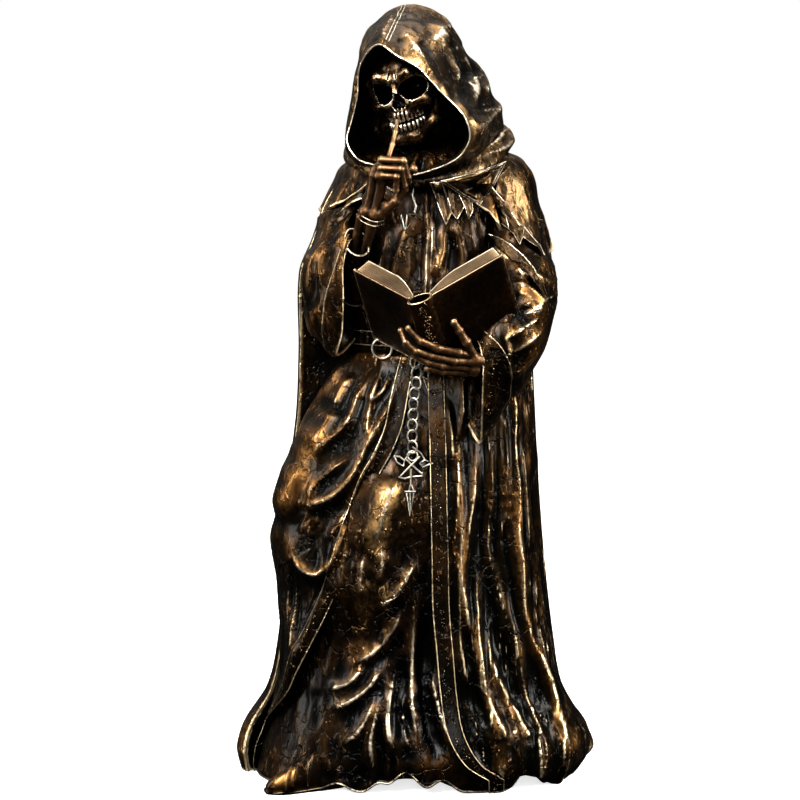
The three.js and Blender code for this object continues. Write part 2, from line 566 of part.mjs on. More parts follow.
// Open book: each half is a cover with a page block on the reader's side
const book = {
  hingeRight: [6.4, 195.4, -59], hingeLeft: [-2.5, 194.2, -59], rightTop: [34.5, 211.4, -53], leftTop: [-24, 205.5, -42],
  down: [7.8, -26.5, 18], pages: 5.6, board: 1.3, margin: 1.6,
};
function openBook() {
  const shift = (p, q, k = 1) => p.map((v, i) => v + k * q[i]);
  const half = (hinge, top) => {
    const corners = [hinge, top, shift(top, book.down), shift(hinge, book.down)].map((p) => new THREE.Vector3(...seen(...p)));
    const across = corners[1].clone().sub(corners[0]);
    const down = corners[3].clone().sub(corners[0]);
    const normal = across.clone().cross(down).normalize();
    if (normal.y < 0) normal.negate();
    const slab = (inset, near, far, roundness) => {
      const rim = [];
      const steps = 4;
      for (let i = 0; i <= steps; i += 1) {
        rim.push([i / steps, roundness * Math.max(0, 1 - i / steps * 2.2) ** 1.5]);
      }
      const acrossLength = across.length();
      const downLength = down.length();
      const ring = (v) => {
        const place = (u, out) => corners[0].clone().addScaledVector(across, lerp(0, 1 - inset / acrossLength, u))
          .addScaledVector(down, v).addScaledVector(normal, out).toArray();
        return [...rim.map(([u]) => place(u, near)), ...rim.slice().reverse().map(([u, dip]) => place(u, far - dip))];
      };
      return solid(loft([ring(inset / downLength), ring(1 - inset / downLength)]));
    };
    return [slab(0, 0, book.board, 0), slab(book.margin, book.board * 0.5, book.board + book.pages, book.pages * 0.8)];
  };
  const spineTop = [2, 193.4, -58];
  const spine = tube([[...spineTop, 4.6], [...shift(spineTop, book.down, 0.98), 4.6]], 2, 10);
  return joined([...half(book.hingeRight, book.rightTop), ...half(book.hingeLeft, book.leftTop), spine]);
}

// Depth of the gown's or chest's front surface under a drawn point
function frontDepth(x, h) {
  let y = -30;
  for (let pass = 0; pass < 8; pass += 1) {
    const [px, , z] = seen(x, h, y);
    const left = bodySides.left(z);
    const right = bodySides.right(z);
    const middle = (left + right) / 2;
    const half = (right - left) / 2;
    const across = clamp(Math.abs(px - middle) / half, 0, 0.98);
    const depth = axisY - bodyFront(z);
    y = axisY - depth * (1 - across ** 2.3) ** (1 / 2.3) + (z < beltHeight ? layer : 0);
  }
  return y;
}
const ridgeTop = (x, h) => frontDepth(x, h) - (h < 165 ? gownField(x, h) : 0);

// A small ring standing on the front surface
function ring(x, h, radius, wire, steps) {
  const geometry = new THREE.TorusGeometry(radius, wire, 3, steps);
  const [px, py, pz] = seen(x, h, ridgeTop(x, h) - wire * 0.2);
  geometry.translate(px, py, pz);
  return solid(geometry);
}
// A flat bar along drawn points on the front surface
function bar(points, radius) {
  return tube(points.map(([x, h]) => [x, h, ridgeTop(x, h) - radius * 0.3, radius]), points.length, 3);
}
// A pointed cloth flap lying on the chest: drawn outline, thickness
function flap(points, thick, lift) {
  const front = points.map(([x, h]) => seen(x, h, frontDepth(x, h) - thick - lift));
  const back = points.map(([x, h]) => seen(x, h, frontDepth(x, h) + 3));
  return solid(loft([front, back]));
}
function chainAndPendants() {
  const links = 11;
  const chainTop = [0.4, 169.2];
  const chainFoot = [-0.8, 137.4];
  const step = (chainTop[1] - chainFoot[1]) / (links - 1);
  const parts = Array.from({ length: links }, (_, i) => {
    const t = i / (links - 1);
    const x = lerp(chainTop[0], chainFoot[0], t) + Math.sin(t * 5) * 0.6;
    const h = lerp(chainTop[1], chainFoot[1], t);
    // Every second link is seen on its edge, so it shows as a short bar
    return i % 2 ? bar([[x, h + step * 0.62], [x, h - step * 0.62]], 0.9) : ring(x, h, 2, 0.8, 6);
  });
  parts.push(ring(-1, 133.8, 2.4, 0.8, 6), ring(-13, 175.1, 4.3, 0.9, 9));
  parts.push(bar([[-8.4, 133.6], [-1, 133.4]], 0.9), bar([[-1, 133.4], [7.2, 130.6]], 0.9));
  parts.push(bar([[-4.2, 129.6], [2.6, 125]], 0.7), bar([[2.4, 130], [-5.2, 125]], 0.7));
  parts.push(bar([[-6, 124.8], [3.8, 124.6]], 0.7), bar([[-1, 128], [-1.4, 110]], 0.9));
  parts.push(bar([[-3.7, 119], [0.6, 119]], 0.8), bar([[-0.2, 238.6], [-1.6, 231.2]], 0.6));
  parts.push(flap([[-3.6, 228.4], [-1.6, 231.4], [1.4, 227.6], [-3.4, 221.6]], 1, 0));
  return joined(parts);
}

function collar() {
  return joined([
    flap([[13, 240], [24, 245], [37, 249], [31, 239], [26.4, 230]], 1.8, 3.4),
    flap([[7, 239.5], [13, 239.5], [16.6, 231], [14, 224], [11.6, 223]], 1.2, 1.4),
    flap([[12, 239], [20, 236], [22, 229.6], [16.6, 226.4]], 1.2, 0.8),
    tube([[5, 240.4, -24, 2], [9, 240.6, -26, 2.6], [13, 241, -24, 2]], 4, 6),
    tube([[-16, 244, -18, 4], [-4, 239, -22, 4], [8, 239.6, -23, 4], [18, 243, -20, 5], [30, 250, -8, 6],
      [33, 256, 8, 6.4], [18, 262, 25, 7], [-6, 262, 26, 7], [-20, 254, 14, 6]], 11, 6),
  ]);
}

// Shoe and the banded gown hem over the ankle
function shoe() {
  const sections = [
    [[-57.5, 3.4, -37], 1.4, 1.6], [[-54, 5.6, -39], 3.8, 3.6], [[-48, 8.4, -38], 5.4, 5.8],
    [[-41, 10.4, -35], 5.8, 7.8], [[-33, 12, -31], 5.6, 9.6], [[-26, 12, -27], 5, 9.6],
  ];
  const rings = sections.map(([[x, h, y], wide, tall]) => {
    const [px, py] = seen(x, h, y);
    return Array.from({ length: 10 }, (_, k) => {
      const angle = k / 10 * 2 * Math.PI;
      return [px + 0.5 * wide * Math.cos(angle), py + wide * Math.cos(angle) * 0.9, Math.max(0, tall * (0.62 + Math.sin(angle)))];
    });
  });
  return solid(loft(rings));
}

const figure = joined([
  gown(), coat(), cloak(),
  capelet((x, y) => (y > 0 ? 222 : lerp(240, x > 0 ? 212 : 211, Math.abs(x) ** 1.6)), 1.8, 0),
  capelet((x, y) => (y > 0 ? 208 : lerp(238, x > 0 ? 202 : 200, Math.abs(x) ** 1.6)), 2.2, 1.6),
  hood(), skull(), collar(), sleeve(raisedSleeve, 15, [-6, 10, 6]), sleeve(bookSleeve, 15, [12, 8, 6]),
  tube([[-30, 192, -10, 5], [-26.6, 205, -17, 5.2], [-22.4, 215.6, -22.5, 5]], 4, 9),
  raisedHand(), bookHand(), openBook(), chainAndPendants(), shoe(),
]);

// Triangles of the largest shell: pockets closed in between folded layers are solid bronze
function outerShell(triVerts, vertexCount) {
  const parent = Array.from({ length: vertexCount }, (_, i) => i);
  const root = (i) => {
    let top = i;
    while (parent[top] !== top) top = parent[top];
    parent[i] = top;
    return top;
  };
  for (let t = 0; t < triVerts.length; t += 3) {
    parent[root(triVerts[t])] = root(triVerts[t + 1]);
    parent[root(triVerts[t + 1])] = root(triVerts[t + 2]);
  }
  const sizes = new Map();
  for (let t = 0; t < triVerts.length; t += 3) {
    sizes.set(root(triVerts[t]), (sizes.get(root(triVerts[t])) ?? 0) + 1);
  }
  const [largest] = [...sizes.entries()].sort((a, b) => b[1] - a[1])[0];
  return triVerts.filter((_, i) => root(triVerts[i - i % 3]) === largest);
}

// The joined solid as one mesh, its footprint centred on the origin
const { vertProperties, triVerts } = figure.getMesh();
const joinedGeometry = new THREE.BufferGeometry();
joinedGeometry.setAttribute('position', new THREE.BufferAttribute(new Float32Array(vertProperties), 3));
joinedGeometry.setIndex(new THREE.BufferAttribute(outerShell(triVerts, vertProperties.length / 3), 1));
const geometry = mergeVertices(joinedGeometry, 1e-4);
geometry.computeBoundingBox();
const middle = geometry.boundingBox.getCenter(new THREE.Vector3());
geometry.translate(-middle.x, -middle.y, -geometry.boundingBox.min.z);
geometry.computeVertexNormals();

const bronze = new THREE.MeshStandardMaterial({ color: '#5b452b', roughness: 0.36, metalness: 0.9 });
const figurine = new THREE.Mesh(geometry, bronze);
figurine.name = 'figurine';

const figureGroup = new THREE.Group();
figureGroup.add(figurine);
export default figureGroup;
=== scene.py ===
import math
import bpy
import numpy as np
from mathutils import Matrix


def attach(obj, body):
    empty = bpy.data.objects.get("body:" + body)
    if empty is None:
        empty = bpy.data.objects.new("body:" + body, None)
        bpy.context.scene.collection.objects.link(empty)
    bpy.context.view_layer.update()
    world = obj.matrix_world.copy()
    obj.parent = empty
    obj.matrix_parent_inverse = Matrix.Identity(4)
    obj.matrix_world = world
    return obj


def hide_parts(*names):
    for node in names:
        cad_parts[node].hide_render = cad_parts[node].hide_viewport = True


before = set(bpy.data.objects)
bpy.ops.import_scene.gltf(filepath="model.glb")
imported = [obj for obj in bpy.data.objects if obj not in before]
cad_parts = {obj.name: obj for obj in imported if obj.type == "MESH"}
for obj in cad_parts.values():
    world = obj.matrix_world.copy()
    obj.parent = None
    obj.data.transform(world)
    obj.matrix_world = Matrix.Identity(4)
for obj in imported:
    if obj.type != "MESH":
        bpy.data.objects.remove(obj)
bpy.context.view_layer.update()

# Hooded skeleton figurine, one cold casting in antique bronze.
# Shapes are worked out in mm in the figure's own frame and moved into the CAD frame at the end.
print("stage: frame loaded")

figure = {
    "shift": (0.0387, 4.2137, 0.0),   # mm, from the figure's own frame to the CAD frame
    "distance": 1150.0,               # mm from the lens to the aim point
    "tiltDegrees": 6.0,
    "aimHeight": 150.0,
    "floorLine": 158.0,
    "frameWidth": 312.0,              # mm across the frame at the aim point
    "photoSize": 800,                 # pixels of the photograph
    "axisPixel": 414.5,               # column of the figure's axis
    "aimPixel": 392,                  # row of the aim point
    "body": "root",
    "node": "figurine",
    "slot": "bronze_patina",
}
frameShift = np.array(figure["shift"])
sinTilt = math.sin(math.radians(figure["tiltDegrees"]))
cosTilt = math.cos(math.radians(figure["tiltDegrees"]))
noTriangles = np.zeros((0, 3), int)


# Shapes and curves

def smooth(low, high, v):
    t = np.clip((np.asarray(v, float) - low) / (high - low), 0, 1)
    return t * t * (3 - 2 * t)


def mix(a, b, t):
    return a + (b - a) * t


def metres(points):
    return (np.asarray(points, float) + frameShift) * 0.001


# place of a point drawn at (x, h) on the front view and set at depth y
def seen(x, h, y):
    x, h, y = (np.asarray(v, float) for v in (x, h, y))
    d = figure["distance"]
    up = h - figure["floorLine"]
    reach = y + d * cosTilt
    drop = -reach * (d * sinTilt - up * cosTilt) / (d * cosTilt + up * sinTilt)
    away = reach * cosTilt - drop * sinTilt
    return np.stack(np.broadcast_arrays(x * away / d, y, figure["aimHeight"] + d * sinTilt + drop), axis=-1)


def drawn(p):
    d = figure["distance"]
    reach = p[..., 1] + d * cosTilt
    drop = p[..., 2] - figure["aimHeight"] - d * sinTilt
    away = reach * cosTilt - drop * sinTilt
    return d * p[..., 0] / away, d * (reach * sinTilt + drop * cosTilt) / away + figure["floorLine"]


def profile(points):
    t0 = np.array([p[0] for p in points], float)
    v0 = np.array([p[1] for p in points], float)
    last = len(points) - 1
    low = np.maximum(np.arange(last + 1) - 1, 0)
    high = np.minimum(np.arange(last + 1) + 1, last)
    slope = (v0[high] - v0[low]) / (t0[high] - t0[low])

    def value(t):
        t = np.clip(np.asarray(t, float), t0[0], t0[-1])
        i = np.clip(np.searchsorted(t0, t, side="right") - 1, 0, last - 1)
        span = t0[i + 1] - t0[i]
        u = (t - t0[i]) / span
        h = u * u * (3 - 2 * u)
        bend = u * (1 - u) * (1 - u) * slope[i] - u * u * (1 - u) * slope[i + 1]
        return v0[i] + (v0[i + 1] - v0[i]) * h + span * bend
    return value


def curve(points, count, closed=False):
    p = np.array(points, float)
    n = len(p)
    if closed:
        t = np.arange(count) / count * n
        base = np.floor(t).astype(int)
        k = [(base + o) % n for o in (-1, 0, 1, 2)]
        q = [p[i] for i in k]
    else:
        t = np.arange(count) / (count - 1) * (n - 1)
        base = np.minimum(np.floor(t).astype(int), n - 2)
        wide = np.vstack([2 * p[0] - p[1], p, 2 * p[-1] - p[-2]])
        q = [wide[base + o] for o in (0, 1, 2, 3)]
    u = (t - base)[:, None]
    gap = [np.maximum(np.sum((q[i + 1] - q[i]) ** 2, axis=1) ** 0.25, 1e-4)[:, None] for i in range(3)]
    a = (q[1] - q[0]) / gap[0] - (q[2] - q[0]) / (gap[0] + gap[1]) + (q[2] - q[1]) / gap[1]
    b = (q[2] - q[1]) / gap[1] - (q[3] - q[1]) / (gap[1] + gap[2]) + (q[3] - q[2]) / gap[2]
    a, b = a * gap[1], b * gap[1]
    return q[1] + a * u + (-3 * q[1] + 3 * q[2] - 2 * a - b) * u ** 2 + (2 * q[1] - 2 * q[2] + a + b) * u ** 3


def gridFaces(rows, cols, closed=False):
    r, c = np.meshgrid(np.arange(rows - 1), np.arange(cols if closed else cols - 1), indexing="ij")
    d = (c + 1) % cols
    return np.stack([r * cols + c, r * cols + d, (r + 1) * cols + d, (r + 1) * cols + c], axis=-1).reshape(-1,
                                                                                                           4)


def gridNormals(p, closed=False):
    if closed:
        along = np.roll(p, -1, axis=1) - np.roll(p, 1, axis=1)
    else:
        along = np.gradient(p, axis=1)
    n = np.cross(along, np.gradient(p, axis=0))
    return n / np.maximum(np.linalg.norm(n, axis=-1, keepdims=True), 1e-9)


def unit(v):
    return v / np.linalg.norm(v)


def looped(ring):
    return np.vstack([ring, ring[:1]])


# normals of a closed tube, turned away from its axis at one of its rings
def tubeNormals(p, row):
    n = gridNormals(p, True)
    outside = p[row] - p[row].mean(axis=0)
    return n if (n[row] * outside).sum() > 0 else -n


def foldLines(folds, samples=28):
    return [(rise, width, power, curve([(x, h, 0) for x, h in line], samples)[:, :2])
            for rise, width, power, line in folds]


# height in mm of the folds under drawn points; power 1 is a taut crest with hollow flanks, 2 a round pipe
def foldRelief(lines, p):
    x, h = drawn(p)
    total = np.zeros(x.shape)
    for rise, width, power, line in lines:
        pad = width * (4.2 if power < 1.5 else 2.6)
        near = ((x > line[:, 0].min() - pad) & (x < line[:, 0].max() + pad)
                & (h > line[:, 1].min() - pad) & (h < line[:, 1].max() + pad))
        if not near.any():
            continue
        q = np.stack([x[near], h[near]], axis=-1)[:, None, :]
        a, b = line[:-1][None], line[1:][None]
        ab = b - a
        t = np.clip(((q - a) * ab).sum(-1) / (ab ** 2).sum(-1), 0, 1)
        off = q - a - t[..., None] * ab
        dist = np.hypot(off[..., 0], off[..., 1])
        best = dist.argmin(axis=1)
        pick = np.arange(len(best))
        d = np.hypot(dist[pick, best], 0.6) - 0.6
        if power < 1.5 and rise > 0:         # cloth falls off steeply below a crest and gently above it
            across = np.stack([-ab[0, :, 1], ab[0, :, 0]], axis=-1)
            across *= np.sign(across @ (-0.6, 1.0))[:, None]
            across /= np.linalg.norm(across, axis=1)[:, None]
            above = (off[pick, best] * across[best]).sum(-1)
            d = d / mix(0.6, 1.55, smooth(-0.5, 0.5, above))
        along = (best + t[pick, best]) / (len(line) - 1)
        fade = smooth(-0.04, 0.3, along) * smooth(-0.04, 0.3, 1 - along)
        total[near] += rise * fade * np.exp(-(d / width) ** power)
    return total


# relief in mm on the side that faces the viewer
def embossed(p, relief):
    n = gridNormals(p)
    return p + n * (relief * smooth(0.05, -0.3, n[..., 1]))[..., None]


def scattered(*k):
    v = np.zeros(np.broadcast(*k).shape)
    for i, a in enumerate(k):
        v = v + np.asarray(a, float) * (12.9898, 78.233, 37.719)[i % 3]
    return np.modf(np.abs(np.sin(v) * 43758.5453))[0]


# smooth value noise, -1 to 1
def lumps(x, y, z, size, seed=0.0):
    x, y, z = x / size + seed * 7.3, y / size + seed * 3.1, z / size + seed * 1.7
    fx, fy, fz = np.floor(x), np.floor(y), np.floor(z)
    u, v, w = x - fx, y - fy, z - fz
    u, v, w = (t * t * (3 - 2 * t) for t in (u, v, w))
    total = 0
    for i in (0, 1):
        for j in (0, 1):
            for k in (0, 1):
                share = (u if i else 1 - u) * (v if j else 1 - v) * (w if k else 1 - w)
                total = total + share * scattered(fx + i, fy + j, fz + k)
    return total * 2 - 1


# creases and dents of hand-modelled cloth, in mm: long wrinkles down the hang and short nicks across it
def worked(p, seed=0.0, amount=1.0):
    x, y, z = p[..., 0], p[..., 1], p[..., 2]
    long = lumps(x, y, z * 0.26, 5.0, seed)
    short = lumps(x + 1.5 * long, y, z * 0.7, 2.9, seed + 3)
    patch = smooth(-0.35, 0.5, lumps(x, y, z, 17.0, seed + 5))
    return amount * (0.75 * (0.42 - np.abs(long)) + 0.5 * patch * (0.35 - np.abs(short)))


# Meshes: every surface ends up as one closed body with its own attributes of wear, swell and painted
# highlight

# turns the free edges of a grid inward and closes them on one point
def closeEnds(p, depth, inward, closed=False):
    rows, cols = p.shape[:2]
    faces = gridFaces(rows, cols, closed)
    flat = p.reshape(-1, 3)
    n = gridNormals(p, closed).reshape(-1, 3)
    if closed:
        loops = [np.arange(cols), (rows - 1) * cols + np.arange(cols)[::-1]]
    else:
        loops = [np.concatenate([np.arange(cols), (np.arange(1, rows) + 1) * cols - 1,
                                 (rows - 1) * cols + np.arange(cols - 2, -1, -1),
                                 np.arange(rows - 2, 0, -1) * cols])]
    verts, quads, tris = [flat], [faces], []
    total = len(flat)
    for number, loop in enumerate(loops):
        lip = flat[loop] - n[loop] * depth
        verts.append(lip)
        lipIndex = total + np.arange(len(loop))
        total += len(loop)
        nxt = np.roll(np.arange(len(loop)), -1)
        quads.append(np.stack([loop[nxt], loop, lipIndex, lipIndex[nxt]], axis=-1))
        verts.append(np.array(inward[number % len(inward)], float)[None])
        tris.append(np.stack([lipIndex[nxt], lipIndex, np.full(len(loop), total)], axis=-1))
        total += 1
    return np.vstack(verts), np.vstack(quads), np.vstack(tris)


# closed rings, with a fan on each end
def closedLoft(p):
    rows, cols = p.shape[:2]
    flat = p.reshape(-1, 3)
    ends = [p[0].mean(axis=0), p[-1].mean(axis=0)]
    i = np.arange(cols)
    j = (i + 1) % cols
    first = np.stack([j, i, np.full(cols, len(flat))], axis=-1)
    last = np.stack([(rows - 1) * cols + i, (rows - 1) * cols + j, np.full(cols, len(flat) + 1)], axis=-1)
    return np.vstack([flat, ends]), gridFaces(rows, cols, True), np.vstack([first, last])


# the same closed body with its faces turned outward
def outward(part):
    v, q, t = (np.asarray(a) for a in part)
    q, t = q.astype(int).reshape(-1, 4), t.astype(int).reshape(-1, 3)
    corners = np.vstack([q[:, [0, 1, 2]], q[:, [0, 2, 3]], t])
    a, b, c = (v[corners[:, k]] - v.mean(axis=0) for k in range(3))
    return part if (a * np.cross(b, c)).sum() > 0 else (v, q[:, ::-1], t[:, ::-1])


def together(parts):
    verts, quads, tris, base = [], [], [], 0
    for v, q, t in (outward(part) for part in parts):
        verts.append(v)
        quads.append(np.asarray(q, int).reshape(-1, 4) + base)
        tris.append(np.asarray(t, int).reshape(-1, 3) + base)
        base += len(v)
    return np.vstack(verts), np.vstack(quads), np.vstack(tris)


def addObject(name, data):
    item = bpy.data.objects.new(name, data)
    bpy.context.collection.objects.link(item)
    return item


def readBack(data, label, size, kind=float):
    values = np.zeros(len(data) * size, kind)
    data.foreach_get(label, values)
    return values.reshape(-1, size)


def blurred(v, edges, count, rounds):
    degree = np.maximum(np.bincount(edges.ravel(), minlength=count), 1)[:, None]
    a, b = edges[:, 0], edges[:, 1]
    for _ in range(rounds):
        total = np.stack([np.bincount(a, v[b, k], count) + np.bincount(b, v[a, k],
                                                                       count) for k in range(v.shape[1])],
                         axis=-1)
        v = 0.5 * v + 0.5 * total / degree
    return v


# Painted highlights: broad bright patches laid where the lights catch the figure, as drawn: (how much, radius
# in mm, falloff power, points)
paintedHighlightLines = foldLines([
    (1.0, 4.4, 2, [(-37, 148), (-40.8, 139.2), (-44.7, 123.6), (-50.5, 106)]),
    (0.6, 2.6, 2, [(-33, 154.8), (-27.1, 164.6)]),
    (0.9, 5.0, 2, [(-5.7, 131), (-11.5, 110), (-17.4, 90)]),
    (0.5, 7, 2, [(-10, 90), (-18, 72), (-27, 46)]),
    (0.4, 6, 2, [(-27, 46), (-33, 20)]),
    (0.35, 3.0, 2, [(37, 243), (41.1, 230.9), (44, 221)]),
    (1.0, 2.8, 2, [(-3.7, 303), (-1, 288), (1.4, 280)]),
    (0.8, 2.4, 2, [(4.1, 303), (9.9, 289.4)]),
    (0.6, 1.8, 2, [(-20, 296), (-21.6, 284)]),
    (0.45, 4.0, 2, [(0.2, 228), (1.4, 203)]),
    (0.4, 4.0, 2, [(11.9, 222), (9.9, 200)]),
    (1.1, 3.6, 2, [(55, 36), (63, 17)]),
    (0.7, 3.0, 2, [(33.3, 43), (41.1, 20)]),
    (0.5, 2.6, 2, [(47, 198), (49.4, 190), (48.9, 174.3), (41.1, 158.7)]),
    (0.6, 2.2, 2, [(-34.9, 234), (-37.6, 207)]),
    (0.5, 2.2, 2, [(-27, 226), (-30, 205)]),
    (0.8, 2.4, 2, [(-36, 87), (-30, 92), (-26, 104)]),
    (0.9, 3.4, 2, [(-57, 3), (-50, 7), (-44, 11)]),
])
pieces = {}      # triangles of each finished piece
layers = {}      # vertices of each finished piece, for what is laid on it


def frontOf(names, x, h, reach=1.2):
    near = []
    for name in names:
        dx, dh = drawn(layers[name])
        near.append(layers[name][np.hypot(dx - x, dh - h) < reach, 1])
    near = np.concatenate(near)
    return float(near.min()) if len(near) else -28.0


def addPiece(name, parts, material, trims=(), rub=0.28, fine=4, broad=40, angle=50, calm=None, polish=True,
             lift=0.0, crests=(), rubbedFrom=None):
    if len(trims):
        rubbedFrom = len(parts[0])
        parts = together([parts, *trims])
    verts, quads, tris = outward(parts)
    layers[name] = verts
    mesh = bpy.data.meshes.new(name)
    world = metres(verts)
    world[:, 2] = np.maximum(world[:, 2], 0)     # the foot stands flat
    mesh.from_pydata(world.tolist(), [], quads.tolist() + tris.tolist())
    mesh.validate()
    count = len(mesh.vertices)
    place = readBack(mesh.vertices, "co", 3) * 1000
    normal = readBack(mesh.vertices, "normal", 3)
    edges = readBack(mesh.edges, "vertices", 2, np.int32)
    length = np.linalg.norm(place[edges[:, 0]] - place[edges[:, 1]], axis=1)
    edges = edges[length < 1.8]              # not across the closed ends
    near = blurred(place, edges, count, fine)
    far = blurred(near, edges, count, broad)
    wear = ((place - near) * normal).sum(-1)
    swell = ((near - far) * normal).sum(-1)
    if calm is not None:                     # rims that the cloth's own bead already marks
        wear[:len(calm)] *= calm
    if rubbedFrom is not None:               # beads are rubbed bright all over
        wear[rubbedFrom:] = rub
    # sides turned towards the camera and the front lights, which take the painted highlights
    frontLitSide = smooth(0.3, -0.3, normal[:, 1])
    place -= frameShift
    taut = [points for rise, _, power, points in crests if rise > 0 and power < 1.5]
    lines = foldLines([(1.0, 0.65, 2, points) for points in taut])
    if lines:                                # taut crests get a thin bright line: wear along the crest, painted as a highlight only on the sides turned to the front lights
        wear += 0.075 * foldRelief(lines, place) * frontLitSide
    if polish:                               # painted highlights: broad patches on the sides turned to the front lights
        shine = foldRelief(paintedHighlightLines, place) * frontLitSide
        swell += 0.8 * shine + lift
        swell -= 0.2 * smooth(90, 35, place[:, 2])                  # darker towards the bottom, below 90 mm
        wear += 0.06 * shine
    for label, values in (("wear", wear), ("swell", swell)):
        mesh.attributes.new(label, "FLOAT", "POINT").data.foreach_set("value", values.astype(np.float32))
    mesh.polygons.foreach_set("use_smooth", np.ones(len(mesh.polygons), bool))
    mesh.set_sharp_from_angle(angle=math.radians(angle))
    piece = addObject(name, mesh)
    mesh.materials.append(material)
    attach(piece, figure["body"])
    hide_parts(figure["node"])
    mesh.calc_loop_triangles()
    pieces[name] = len(mesh.loop_triangles)
    print("piece", name, pieces[name], "triangles; wear", round(float(np.percentile(wear, 98)), 3),
          "swell", round(float(np.percentile(swell, 98)), 3))


# Materials: lost-wax bronze with an antique patina. It is near black in the hollows, as patina in concave
# folds and as painted shade where the occlusion node finds other surfaces close by, brown on the open faces,
# and rubbed back to bright metal on crests and edges.

def linear(hexColour):
    rgb = [int(hexColour[i:i + 2], 16) / 255 for i in (1, 3, 5)]
    return tuple(c / 12.92 if c <= 0.04045 else ((c + 0.055) / 1.055) ** 2.4 for c in rgb) + (1.0,)


def node(tree, kind, settings=None, inputs=None):
    made = tree.nodes.new(kind)
    for key, value in (settings or {}).items():
        setattr(made, key, value)
    for key, value in (inputs or {}).items():
        socket = made.inputs[key]
        if isinstance(value, bpy.types.NodeSocket):
            tree.links.new(value, socket)
        else:
            socket.default_value = value
    return made
